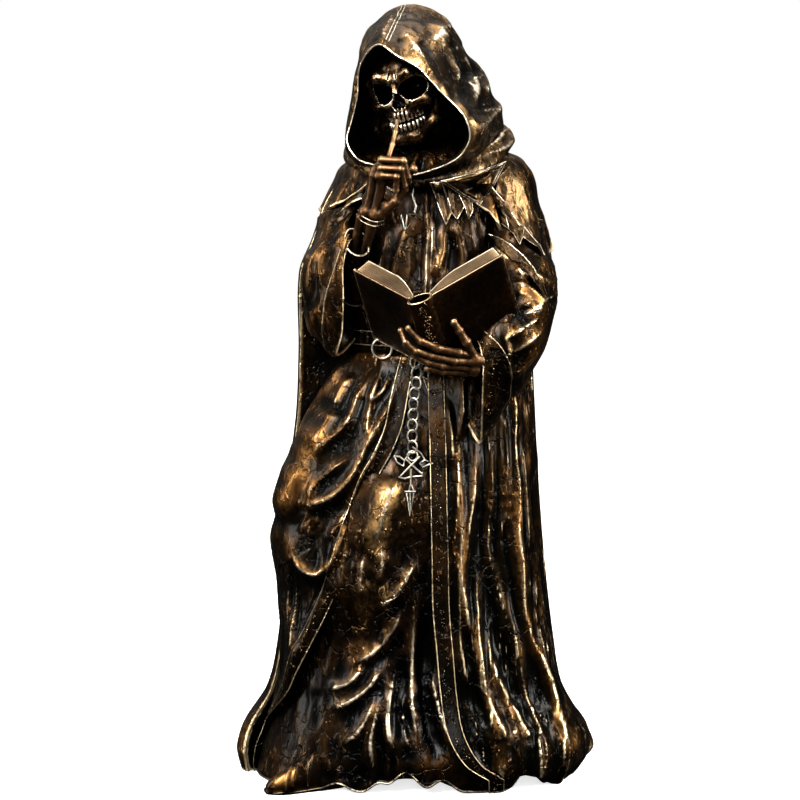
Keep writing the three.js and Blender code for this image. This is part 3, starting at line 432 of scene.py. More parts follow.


# hollowPatinaAndShade, face, rubbed and edge are the colours from the deepest hollow to the sharpest edge;
# the first is the patina of the hollows and the painted shade of occluded places. wearMm and swellMm are the
# convexities that count as a sharp edge and a full fold; reach is how far a hollow shades.
def antiqueBronze(name, hollowPatinaAndShade, face, faceShift, rubbed, edge, roughness=0.34, hatch=1.0, wearMm=0.17,
                  swellMm=0.8, lacquer=0.12, reach=0.012):
    material = bpy.data.materials.new(name)
    material.use_nodes = True
    tree = material.node_tree
    tree.nodes.clear()
    ramp = ("Value", "From Min", "From Max", "To Min", "To Max")
    # kinds of node: type, settings, inputs in the order of a row's values, output
    kinds = {
        "shade": ("ShaderNodeAmbientOcclusion", {"samples": 8, "only_local": False}, ("Distance",), "AO"),
        "noise": ("ShaderNodeTexNoise", {}, ("Vector", "Scale", "Detail", "Roughness"), "Fac"),
        "drift": ("ShaderNodeTexNoise", {}, ("Vector", "Scale", "Detail"), "Color"),
        "dots": ("ShaderNodeTexVoronoi", {"feature": "F1"}, ("Vector", "Scale", "Randomness"), "Distance"),
        "cells": ("ShaderNodeTexVoronoi", {"feature": "DISTANCE_TO_EDGE"}, ("Vector", "Scale", "Randomness"),
                  "Distance"),
        "stretch": ("ShaderNodeMapping", {}, ("Vector", "Scale"), 0),
        "range": ("ShaderNodeMapRange", {"interpolation_type": "SMOOTHSTEP"}, ramp, 0),
        "times": ("ShaderNodeMath", {"operation": "MULTIPLY"}, (0, 1), 0),
        "timesPlus": ("ShaderNodeMath", {"operation": "MULTIPLY_ADD"}, (0, 1, 2), 0),
        "mix": ("ShaderNodeMix", {"data_type": "RGBA"}, ("Factor", 6, 7), 2),
        "nudge": ("ShaderNodeMix", {"data_type": "VECTOR"}, ("Factor", 4, 5), 1),
        "bump": ("ShaderNodeBump", {}, ("Strength", "Distance", "Height"), 0),
    }
    made = {"place": node(tree, "ShaderNodeTexCoord").outputs["Object"]}
    for label in ("wear", "swell"):
        made[label] = node(tree, "ShaderNodeAttribute", {"attribute_name": label}).outputs["Fac"]
    # each row adds a node: its label, its kind and its values, which may be labels of earlier rows
    rows = [
        # painted shade: occlusion within reach, darkest where other parts crowd close
        ("exposure", "shade", reach),
        # patches of thicker and thinner patina 14 mm wide, and the 1.6 mm grain of the wax and of the rubbing
        ("cloud", "noise", "place", 1000 / 14, 4.0, 0.6),
        ("speck", "noise", "place", 1000 / 1.6, 3.0, 0.65),
        # how far each point stands out of its surroundings, in parts of a full fold, with the painted
        # highlights added in
        ("fold", "timesPlus", "swell", 1.0 / swellMm, -0.25),
        ("proud", "timesPlus", "cloud", 0.5, "fold"),
        # the hollow colour shows where occlusion is high or the swell is low: painted shade near other parts,
        # patina in concave folds
        ("lit", "range", "exposure", 0.35, 0.95),
        ("risen", "range", "proud", -0.35, 0.55),
        ("depth", "times", "lit", "risen"),
        ("patch", "range", "cloud", 0.42, 0.66),
        ("faces", "mix", "patch", face, faceShift),
        ("base", "mix", "depth", hollowPatinaAndShade, "faces"),
        # the broad crests that a polishing cloth reaches, together with the painted highlight patches that
        # the swell attribute carries; none where occlusion paints shade
        ("grained", "timesPlus", "speck", 0.6, "proud"),
        ("high", "range", "grained", 0.62, 1.5),
        ("reached", "range", "exposure", 0.4, 0.8),
        ("crest", "times", "high", "reached"),
        ("polished", "mix", "crest", "base", rubbed),
        # the sharp edges, worn to bare metal, joined by the painted highlight lines of taut crests; none
        # where occlusion paints shade
        ("rough edge", "timesPlus", "speck", wearMm, "wear"),
        ("keen", "range", "rough edge", wearMm * 1.35, wearMm * 2.6),
        ("clear", "range", "exposure", 0.15, 0.5),
        ("sharp", "times", "keen", "clear"),
        ("bared", "mix", "sharp", "polished", edge),
        # short upright tool cuts 1.5 mm apart, in patches of 9 mm
        ("upright", "stretch", "place", (1.0, 1.0, 0.3)),
        ("cut noise", "noise", "upright", 1000 / 1.5, 1.0, 0.5),
        ("cut lines", "range", "cut noise", 0.56, 0.66),
        ("area", "noise", "place", 1000 / 9, 2.0, 0.55),
        ("cut area", "range", "area", 0.46, 0.58),
        ("cuts", "times", "cut lines", "cut area"),
        ("cut shine", "times", "cuts", 0.55 * hatch),
        ("cut open", "times", "cut shine", "depth"),
        ("cut metal", "mix", "cut open", "bared", rubbed),
        # hammered pits 2.6 mm apart
        ("spots", "dots", "place", 1000 / 2.6, 1.0),
        ("spot cores", "range", "spots", 0.05, 0.2, 1.0, 0.0),
        ("pit area", "range", "area", 0.5, 0.62),
        ("pits", "times", "spot cores", "pit area"),
        # shrinkage cracks round plates of 6.5 mm, bent a little by a 3.8 mm noise
        ("bend", "drift", "place", 260.0, 2.0),
        ("bent", "nudge", 0.0035, "place", "bend"),
        ("plates", "cells", "bent", 1000 / 6.5, 1.0),
        ("seams", "range", "plates", 0.012, 0.05, 1.0, 0.0),
        ("fields", "noise", "place", 1000 / 11, 2.0, 0.55),
        ("crack area", "range", "fields", 0.5, 0.6),
        ("cracks", "times", "seams", "crack area"),
        # the relief of all of them, with two grains of brushed wax
        ("hung", "stretch", "place", (1.0, 1.0, 0.4)),
        ("wax", "noise", "hung", 1000 / 2.6, 2.0, 0.5),
        ("grit", "noise", "place", 1000 / 0.6, 2.0, 0.5),
        ("sunk pits", "times", "pits", -0.55 * hatch),
        ("sunk cracks", "timesPlus", "cracks", -0.6 * hatch, "sunk pits"),
        ("with cuts", "timesPlus", "cuts", 0.8 * hatch, "sunk cracks"),
        ("with wax", "timesPlus", "wax", 0.4, "with cuts"),
        ("height", "timesPlus", "grit", 0.1, "with wax"),
        ("relief", "bump", 0.8, 0.00045, "height"),
        # patina stays in the pits and the cracks
        ("pit dirt", "times", "pits", 0.9),
        ("dirt", "timesPlus", "cracks", 0.7, "pit dirt"),
        ("marks", "times", "dirt", 0.85 * hatch),
        ("colour", "mix", "marks", "cut metal", hollowPatinaAndShade),
        # wax is duller in the hollows
        ("dull", "range", "speck", 0.3, 0.7, roughness - 0.07, roughness + 0.1),
        ("hollow", "range", "depth", 0.0, 0.5, 1.0, 0.0),
        ("rough", "timesPlus", "hollow", 0.16, "dull")]
    for label, kind, *values in rows:
        values = [linear(v) if str(v)[0] == "#" else made[v] if isinstance(v, str) else v for v in values]
        nodeType, settings, inputs, output = kinds[kind]
        made[label] = node(tree, nodeType, settings, dict(zip(inputs, values))).outputs[output]
    metal = node(tree, "ShaderNodeBsdfPrincipled", None, {
        "Base Color": made["colour"], "Roughness": made["rough"], "Metallic": 1.0, "Normal": made["relief"],
        "Coat Weight": lacquer, "Coat Roughness": 0.22, "Coat Normal": made["relief"]})
    node(tree, "ShaderNodeOutputMaterial", None, {"Surface": metal.outputs[0]})
    return material


# warm brown cloth with golden rubbed crests
coatBronze = antiqueBronze("antique_bronze_coat", "#010100", "#20160a", "#3c2710", "#775229", "#e2cba2")
# the same bronze a shade cooler, so that the gown and the chest read apart from the coat
gownBronze = antiqueBronze("antique_bronze_gown", "#010101", "#281c10", "#432c14", "#7c5f3a", "#dccdb2")
# handled most, so its edges are the palest of the cloth
hoodBronze = antiqueBronze("antique_bronze_hood", "#010100", "#2c2012", "#3c2b18", "#7c603c", "#f2e4cb")
# smooth polished bone, rubbed pale on each ridge and black in each hole, with patina and painted shade
boneBronze = antiqueBronze("rubbed_bronze_bones", "#020100", "#3b2a1a", "#4b3823", "#bb9d74", "#fbf2e0",
                           roughness=0.27, hatch=0.25, wearMm=0.06, swellMm=0.5, lacquer=0.1, reach=0.0035)
# fingers worn to a warm satin tan by touch
handBronze = antiqueBronze("rubbed_hand_bronze", "#080502", "#5c412a", "#6b4c2f", "#cba97e", "#fbf2e0",
                           roughness=0.4, hatch=0.2, wearMm=0.07, swellMm=0.5, lacquer=0.1, reach=0.0035)
# boards left nearly unpolished: flat, brown and dark beside the leaves
coverBronze = antiqueBronze("dark_bronze_cover", "#010100", "#2c1c0f", "#4a2f15", "#4a3019", "#c6ac86",
                            hatch=0.12, wearMm=0.16)
# leaf edges rubbed back to a pale tan
leafBronze = antiqueBronze("rubbed_bronze_leaves", "#120c07", "#8a7254", "#9a8060", "#b89c76", "#f2e6cc",
                           hatch=0.1)
# links and pendants rubbed to a silvery grey
chainBronze = antiqueBronze("bright_bronze_chain", "#050403", "#474136", "#544c3e", "#9b9281", "#e2dbcc",
                            hatch=0.1)
print("stage: materials")


# Clothed body. Outlines are [height, left x, right x] as drawn on the front view.
robe = {
    "beltHeight": 169.0, "neckHeight": 246.0, "layer": 2.4, "axisY": 2.0, "power": 2.3, "hemTop": 7.0,
    "outline": [
        [0, -58, 52], [6, -60, 56], [12, -62.5, 63], [20, -62, 68], [28, -59, 67.5], [36, -56, 62],
        [46, -53, 57], [62, -51.5, 54], [80, -52.5, 51.5], [91, -54.5, 50.5], [102, -56.4, 49.3],
        [112, -53.6, 48.6], [125, -50, 48], [137, -47, 47.4], [147, -42, 46.8], [157, -36.5, 46.2],
        [167, -31, 43], [176, -27, 37], [190, -26, 35], [210, -27, 38], [225, -28, 40], [238, -24, 34],
        [246, -17, 25], [254, -12, 20]],
    "front": [[0, -44], [12, -45.5], [34, -41], [64, -37], [104, -35], [140, -31], [169, -25.5], [200, -25],
              [226, -21], [240, -15], [250, -9]],
    "back": [[0, 48], [12, 49], [34, 44], [64, 40], [104, 35], [140, 31], [169, 27], [200, 28], [226, 26],
             [240, 20], [250, 15]],
    "scallops": [(-14, 4, 3.5), (-3.5, 6, 8), (11, 5, 5), (44, 4.5, 8), (-30, 5, 3)],   # x, half width, lift
    # folds are (rise, width, power, drawn line)
    "coatFolds": [
        (2.2, 2.2, 1, [(-24.8, 173), (-29.7, 163.3), (-39.5, 150.9), (-43, 141.8)]),
        (2.0, 1.8, 1, [(-23.2, 165.2), (-27.8, 156.8), (-30.7, 149.7)]),
        (3.2, 4.6, 1.4, [(-29, 152), (-33, 144), (-39.5, 134.7)]),
        (2.8, 2.4, 1, [(-16, 166.5), (-21.3, 155.5), (-25.2, 145.7), (-32.3, 137.9), (-42, 130.1)]),
        (1.8, 1.6, 1, [(-12.5, 168), (-15, 158), (-17.4, 147), (-18, 138)]),
        (1.6, 1.5, 1, [(-9, 167), (-12, 158), (-15.4, 155), (-10, 166)]),
        (3.6, 2.8, 1, [(-6.3, 161.3), (-10.8, 150.3), (-18, 136.6), (-23.9, 124.3), (-31.7, 116.5),
                       (-38.8, 113.9), (-44, 114.9)]),
        (1.8, 1.8, 1, [(-23.2, 134), (-31.7, 126.9), (-37.5, 120.4), (-39.5, 114.6)]),
        (3.0, 5.0, 1.4, [(-40, 130), (-45.9, 119.7), (-51.8, 106.1)]),
        (3.4, 2.4, 1, [(-49.2, 100.9), (-44.7, 91.8), (-38.1, 87.2), (-32.3, 91.1), (-26.4, 103.5),
                       (-23.9, 109.3)]),
        (0.9, 1.2, 2, [(-46.2, 106.9), (-41.5, 109.6), (-43.5, 104.9), (-38.4, 107.6), (-40.8, 102.6),
         (-32.2, 108.8)]),
        (1.6, 1.6, 1, [(-34, 100), (-29, 106), (-26, 112)]),
        (1.8, 2.0, 1, [(-10, 146), (-15.5, 133), (-21.7, 121), (-26.4, 110), (-28.5, 101)]),
        (2.4, 16, 2, [(-36.1, 147), (-44.7, 133.4), (-49.3, 119), (-51.7, 106.5)]),
        (2.4, 3.4, 1.2, [(-50.9, 92.4), (-48.6, 76.8), (-45.8, 67.1), (-44.7, 57.3), (-47.8, 41.7)]),
        (2.2, 3, 1.1, [(-36.9, 80.7), (-40, 65.1), (-44.7, 51.9), (-50.1, 37.8), (-57.1, 25.4)]),
        (1.6, 2, 1, [(-33, 84), (-36, 70), (-40, 58), (-47, 42), (-53, 28)]),
        (2.0, 2.2, 1, [(16.2, 139.2), (17.7, 108), (17, 76.8), (18.5, 53.4), (22.4, 37.8)]),
        (1.6, 1.8, 1, [(13.1, 156.4), (14.6, 139.2), (15.8, 127.5)]),
        (2.8, 2.8, 1, [(22.4, 139.2), (23.2, 122.9), (20.5, 103.4), (19.3, 86.6), (20.1, 69), (23.2, 51.5)]),
        (2.8, 2.2, 1, [(24, 88.5), (24.8, 62.8), (26.7, 46), (29.4, 35.1), (34.1, 25.4), (38, 19.1)]),
        (1.8, 2.2, 1, [(27.9, 69.8), (30.6, 52.3), (36.5, 38.6), (42.7, 26.9), (47.4, 17.6)]),
        (3.2, 3.0, 1, [(35.3, 154.8), (36.1, 125.6), (38.4, 103.4), (39.6, 92.4), (41.1, 76.4), (43.5, 62.8),
         (48.6, 49.5), (52.8, 37.1), (57.5, 27.3), (61.8, 15.6)]),
        (2.4, 2.4, 1, [(42.7, 160.7), (43.5, 139.2), (43.1, 122.9), (44.7, 103.4), (47, 84.6), (50.1, 65.1),
         (55.2, 45.6)]),
        (1.8, 2.2, 1, [(47, 76.8), (50.9, 57.3), (56.7, 39.8), (63, 28.1)]),
        (-1.5, 4.6, 2, [(29.8, 145.1), (30.2, 115.8), (30.6, 88.5), (33.3, 61.2), (39.6, 41.7),
                        (46.6, 24.2)]),
        (-1.2, 3.4, 2, [(20.1, 76.8), (21.6, 57.3), (25.5, 39.8), (31.8, 24.2)]),
    ],
    "gownFolds": [
        (6, 17, 2, [(-6.4, 135.3), (-10.3, 115.8), (-15, 98.3), (-18.1, 80.7), (-20.5, 61.2)]),
        (3.0, 4.4, 1.3, [(-7, 126), (-9.5, 118), (-13, 106), (-17, 94)]),
        (1.6, 2.2, 1, [(-13, 100), (-12, 92), (-14, 84)]),
        (1.5, 2.2, 1, [(-19, 96), (-20, 86), (-18, 78)]),
        (2.3, 2.8, 1, [(0.7, 94), (-3, 85.9), (-8.6, 77.8), (-16.2, 73.4)]),
        (2.3, 2.9, 1, [(-4.3, 75.3), (-8, 65.9), (-16.2, 55.9), (-25.5, 51.6)]),
        (2.4, 2.9, 1, [(-9.9, 54.7), (-17.4, 42.9), (-25.5, 36.7), (-33, 34)]),
        (1.9, 2.6, 1, [(-14.2, 41.6), (-20.5, 26.6), (-29.2, 19.1)]),
        (1.8, 1.8, 1, [(-18, 52), (-26, 44), (-34, 42)]),
        (2.4, 2.6, 1, [(0.7, 81.5), (-0.8, 56.6), (-1.1, 37.8), (2, 17.2)]),
        (2.6, 2.8, 1, [(-6.1, 57.8), (-9.6, 37.8), (-9.9, 25.4), (-6.1, 14.1)]),
        (2.0, 2.6, 1, [(-12, 42), (-15, 30), (-17, 20), (-16, 10)]),
        (1.8, 2.0, 1, [(6, 53.4), (8.4, 37.8), (13.1, 24.2), (18.5, 14.4)]),
        (1.4, 1.6, 1, [(-4, 44), (-4.4, 30), (-1.5, 16)]),
        (-2.4, 3.6, 2, [(-4.9, 57.3), (-5.3, 37.8), (-3.3, 20.3)]),
        (-2.6, 4, 2, [(3.7, 76.8), (3.7, 49.5), (6.8, 26.1), (11.5, 12.9)]),
        (0.9, 1.1, 1, [(-15, 197), (-13.5, 207.1), (-10.3, 220.3)]),
        (0.6, 1.0, 1.6, [(-8.8, 197), (-7.6, 207.9), (-4.1, 218.8), (-2.5, 223.5)]),
        (0.9, 0.5, 1, [(4.1, 185), (4.5, 205.5), (5.7, 236)]),
        (0.9, 0.5, 1, [(6.0, 185), (6.4, 205.5), (7.4, 236)]),
        (0.9, 1.2, 1.6, [(9.9, 197.7), (9, 206), (11.5, 213.3), (11, 219), (13.3, 226)]),
        (0.8, 1.1, 1.6, [(7, 200), (8.5, 209), (6.8, 217), (8.2, 226)]),
        (0.9, 1.3, 1.6, [(17, 201.6), (18.9, 210), (16.8, 219), (17.6, 227)]),
        (0.8, 1.3, 1.6, [(24, 208.7), (22, 217.2), (21.1, 227)]),
        (-1.4, 2.2, 2, [(1.4, 197.7), (1.8, 213.3), (2.1, 227)]),
        (-1.6, 2.4, 2, [(13.8, 197.7), (14.2, 211.4), (14.6, 221.1)]),
    ],
    "rightEdge": [[5.8, 29], [12, 20], [24, 13.1], [39, 10.3], [55, 8.8], [73, 7.2], [92, 6.8], [124, 6.2],
                  [153, 5.6], [176, 5]],
    "leftEdge": [[6, -63], [16, -61], [24, -56.4], [34, -48.6], [46, -43.5], [60, -38], [76, -31.8],
                 [92, -25.9], [108, -20.5], [124, -14.6], [135, -8.8], [145, -4.9], [161, -1.8], [176, 2]],
    "cellMm": 0.85,
}
bodyFront, bodyBack = profile(robe["front"]), profile(robe["back"])


def sides(outline, depth):
    rows = [(seen(left, h, depth), seen(right, h, depth)) for h, left, right in outline]
    return (profile([(float(a[2]), float(a[0])) for a, _ in rows]),
            profile([(float(b[2]), float(b[0])) for _, b in rows]))


def reachOf(angle, half, front, back, power):
    depth = np.where(np.sin(angle) > 0, back, front)
    across, deep = np.abs(np.cos(angle)) / half, np.abs(np.sin(angle)) / depth
    return (across ** power + deep ** power) ** (-1 / power)


def around(angle, z, outline, front, back, power, offset=0.0):
    left, right = outline[0](z), outline[1](z)
    half = (right - left) / 2
    radius = reachOf(angle, half, robe["axisY"] - front, back - robe["axisY"], power) + offset
    return np.stack(np.broadcast_arrays((left + right) / 2 + radius * np.cos(angle),
                                        robe["axisY"] + radius * np.sin(angle), z), axis=-1)


bodySides = sides(robe["outline"], 0)


def bodyPoint(angle, z, offset=0.0):
    return around(angle, z, bodySides, bodyFront(z), bodyBack(z), robe["power"], offset)


def hemLift(x):
    return sum(rise * np.exp(-((x - at) / half) ** 2) for at, half, rise in robe["scallops"])


# raises the lowest rows into the scallops of the hem
def lifted(p):
    x, _ = drawn(p)
    share = smooth(robe["hemTop"], 0, p[..., 2]) * smooth(0, -20, p[..., 1])
    q = p.copy()
    q[..., 2] += share * hemLift(x)
    return q


# angle about the axis at which the body shows at drawn x
def angleAt(x, z):
    angle = np.full(z.shape, -math.pi / 2)
    for _ in range(14):
        step = np.clip((x - drawn(bodyPoint(angle, z))[0]) / 40, -0.2, 0.2)
        angle = np.clip(angle + step, -math.pi * 0.97, -0.3)
    return angle


def pathCurve(name, lines):
    path = bpy.data.curves.new(name + "_path", "CURVE")
    path.dimensions = "3D"
    for points in lines:
        spline = path.splines.new("POLY")
        spline.points.add(len(points) - 1)
        spline.points.foreach_set("co", np.hstack([metres(points), np.ones((len(points), 1))]).ravel())
    return path


# runs a tree on a path or on points, and gives its mesh back as plain arrays in the figure's frame
def growPath(name, data, tree, values):
    path = addObject(name + "_path", data)
    modifier = path.modifiers.new("grow", "NODES")
    modifier.node_group = tree
    for item in tree.interface.items_tree:
        if item.item_type == "SOCKET" and item.in_out == "INPUT" and item.name in values:
            modifier[item.identifier] = values[item.name]
    bpy.context.view_layer.update()
    depsgraph = bpy.context.evaluated_depsgraph_get()
    mesh = bpy.data.meshes.new_from_object(path.evaluated_get(depsgraph), preserve_all_data_layers=True,
                                           depsgraph=depsgraph)
    bpy.data.objects.remove(path)
    verts = readBack(mesh.vertices, "co", 3) * 1000 - frameShift
    corners = [tuple(f.vertices) for f in mesh.polygons]
    quads = [k for k in corners if len(k) == 4]
    tris = [k for k in corners if len(k) == 3]
    tris += [(k[0], k[i], k[i + 1]) for k in corners if len(k) > 4 for i in range(1, len(k) - 1)]
    bpy.data.meshes.remove(mesh)
    return verts, np.array(quads).reshape(-1, 4), np.array(tris).reshape(-1, 3)


# rolled bead along the given lines, made by the bead tree
def edgeBand(name, finish, radius, lines, sides=6):
    sizes = {"Bead radius": radius * 0.001, "Sides": sides, "Finish": finish}
    return growPath(name, pathCurve(name, lines), beadTree, sizes)


def makeTree(name, inputs):
    tree = bpy.data.node_groups.new(name, "GeometryNodeTree")
    tree.interface.new_socket("Geometry", in_out="INPUT", socket_type="NodeSocketGeometry")
    for label, kind, value in inputs:
        tree.interface.new_socket(label, in_out="INPUT", socket_type=kind).default_value = value
    tree.interface.new_socket("Finish", in_out="INPUT", socket_type="NodeSocketMaterial")
    tree.interface.new_socket("Geometry", in_out="OUTPUT", socket_type="NodeSocketGeometry")
    return tree, node(tree, "NodeGroupInput").outputs


def finishTree(tree, geometry, given):
    real = node(tree, "GeometryNodeRealizeInstances", None, {"Geometry": geometry}).outputs[0]
    painted = node(tree, "GeometryNodeSetMaterial", None,
                   {"Geometry": real, "Material": given["Finish"]}).outputs[0]
    node(tree, "NodeGroupOutput", None, {"Geometry": painted})
    return tree


def makeBeadTree():
    tree, given = makeTree("rolled_bead", [("Bead radius", "NodeSocketFloat", 0.0005),
                                           ("Sides", "NodeSocketInt", 6)])
    ring = node(tree, "GeometryNodeCurvePrimitiveCircle", None,
                {"Resolution": given["Sides"], "Radius": given["Bead radius"]}).outputs["Curve"]
    tube = node(tree, "GeometryNodeCurveToMesh", None,
                {"Curve": given["Geometry"], "Profile Curve": ring, "Fill Caps": True}).outputs[0]
    return finishTree(tree, tube, given)


# links of a chain along a path, every second one turned about it
def makeLinkTree():
    tree, given = makeTree("chain_links", [
        ("Links", "NodeSocketInt", 11), ("Link radius", "NodeSocketFloat", 0.002),
        ("Wire radius", "NodeSocketFloat", 0.0004), ("Turn", "NodeSocketFloat", 1.0)])
    points = node(tree, "GeometryNodeCurveToPoints", {"mode": "COUNT"},
                  {"Curve": given["Geometry"], "Count": given["Links"]}).outputs
    loop = node(tree, "GeometryNodeCurvePrimitiveCircle", None,
                {"Resolution": 18, "Radius": given["Link radius"]})
    oval = node(tree, "GeometryNodeTransform", None,
                {"Geometry": loop.outputs["Curve"], "Scale": (0.86, 1.12, 1.0)})
    wire = node(tree, "GeometryNodeCurvePrimitiveCircle", None,
                {"Resolution": 7, "Radius": given["Wire radius"]})
    link = node(tree, "GeometryNodeCurveToMesh", None,
                {"Curve": oval.outputs[0], "Profile Curve": wire.outputs["Curve"]}).outputs[0]
    odd = node(tree, "ShaderNodeMath", {"operation": "MODULO"},
               {0: node(tree, "GeometryNodeInputIndex").outputs[0], 1: 2.0}).outputs[0]
    swing = node(tree, "ShaderNodeMath", {"operation": "MULTIPLY_ADD"},
                 {0: odd, 1: given["Turn"], 2: -0.35}).outputs[0]
    spin = node(tree, "ShaderNodeCombineXYZ", None, {"Y": swing}).outputs[0]
    lay = node(tree, "FunctionNodeEulerToRotation", None, {"Euler": spin}).outputs[0]
    base = node(tree, "FunctionNodeEulerToRotation", None, {"Euler": (math.pi / 2, 0.0, 0.0)}).outputs[0]
    turned = node(tree, "FunctionNodeRotateRotation", {"rotation_space": "LOCAL"},
                  {"Rotation": base, "Rotate By": lay}).outputs[0]
    placed = node(tree, "GeometryNodeInstanceOnPoints", None,
                  {"Points": points["Points"], "Instance": link, "Rotation": turned}).outputs[0]
    return finishTree(tree, placed, given)


# short raised strokes on the points of a band, laid along each point's own direction
def makeStrokeTree():
    tree, given = makeTree("band_strokes", [("Stroke width", "NodeSocketFloat", 0.0004)])
    cell = node(tree, "GeometryNodeMeshUVSphere", None,
                {"Segments": 6, "Rings": 4, "Radius": 1.0}).outputs["Mesh"]
    along = node(tree, "GeometryNodeInputNamedAttribute", {"data_type": "FLOAT_VECTOR"},
                 {"Name": "along"}).outputs[0]
    size = node(tree, "GeometryNodeInputNamedAttribute", {"data_type": "FLOAT"}, {"Name": "reach"}).outputs[0]
    lay = node(tree, "FunctionNodeAlignRotationToVector", {"axis": "X"}, {"Vector": along}).outputs[0]
    scale = node(tree, "ShaderNodeCombineXYZ", None,
                 {"X": size, "Y": given["Stroke width"], "Z": given["Stroke width"]}).outputs[0]
    placed = node(tree, "GeometryNodeInstanceOnPoints", None,
                  {"Points": given["Geometry"], "Instance": cell, "Rotation": lay, "Scale": scale}).outputs[0]
    return finishTree(tree, placed, given)


beadTree, linkTree, strokeTree = makeBeadTree(), makeLinkTree(), makeStrokeTree()


# rows of shallow marks on a band given as a grid of surface points; they aren't letters
def strokes(name, finish, grid, count, seed, width, reach, lift):
    random = np.random.default_rng(seed)
    rows, cols = grid.shape[:2]
    n = gridNormals(grid)
    places, directions, sizes = [], [], []
    for k in range(count):
        r = (k + random.uniform(0.1, 0.9)) / count * (rows - 1)
        c = random.uniform(0.18, 0.82) * (cols - 1)
        i, j = int(r), int(c)
        down = grid[min(i + 1, rows - 1), j] - grid[max(i - 1, 0), j]
        across = grid[i, min(j + 1, cols - 1)] - grid[i, max(j - 1, 0)]
        down, across = (v / max(np.linalg.norm(v), 1e-6) for v in (down, across))
        turn = random.choice([0.0, 0.5, -0.6, 1.3, -1.2, 2.2]) + random.normal(0, 0.15)
        places.append(grid[i, j] + n[i, j] * lift)
        directions.append(down * math.cos(turn) + across * math.sin(turn))
        sizes.append(random.uniform(*reach) * 0.5)
    mesh = bpy.data.meshes.new(name + "_points")
    mesh.from_pydata(metres(places).tolist(), [], [])
    along = mesh.attributes.new("along", "FLOAT_VECTOR", "POINT")
    along.data.foreach_set("vector", np.array(directions).ravel())
    mesh.attributes.new("reach", "FLOAT", "POINT").data.foreach_set("value", np.array(sizes) * 0.001)
    return growPath(name, mesh, strokeTree, {"Stroke width": width * 0.001, "Finish": finish})


# rounds the top of a body over towards its axis, so that no rim shows inside what is above it
def sunk(p, start, share):
    q = p.copy()
    pull = share * smooth(start, p[..., 2].max(), p[..., 2]) ** 2
    q[..., 0] -= (p[..., 0] - 2) * pull
    q[..., 1] -= (p[..., 1] - 4) * pull
    return q


def makeGown():
    z = np.concatenate([np.arange(0.4, 4, 0.5), np.arange(4, robe["neckHeight"], robe["cellMm"])])
    a, zz = np.meshgrid(np.radians(np.linspace(-176, -38, 138)), z)
    inset = smooth(robe["beltHeight"] + 1, robe["beltHeight"] - 5, zz) * mix(0.5, 1, smooth(0, 8, zz))
    p = bodyPoint(a, zz, -robe["layer"] * inset)
    p = embossed(p, foldRelief(foldLines(robe["gownFolds"]), p) + worked(p, 2.0))
    p = lifted(p)
    p = sunk(p, 240, 0.85)
    parts = closeEnds(p, 3.0, [(0, -4, 0.3)])
    hem = edgeBand("gown_hem", gownBronze, 0.42, [p[0] + (0, 0, 0.5)])
    addPiece("gown", parts, gownBronze, [hem], rub=0.2, crests=robe["gownFolds"])


# marked hem band along the front edge, in mm, with the columns behind it; pleats hang from the belt
coat = {"bandWidth": 7.6, "bandStep": 0.42, "columns": 92, "pleats": 9.5, "pleatRise": 0.8, "rowStep": 0.75,
        "marks": 110, "markWidth": 0.2, "markLength": (0.6, 1.7), "edgeBead": 0.22, "innerBead": 0.17}


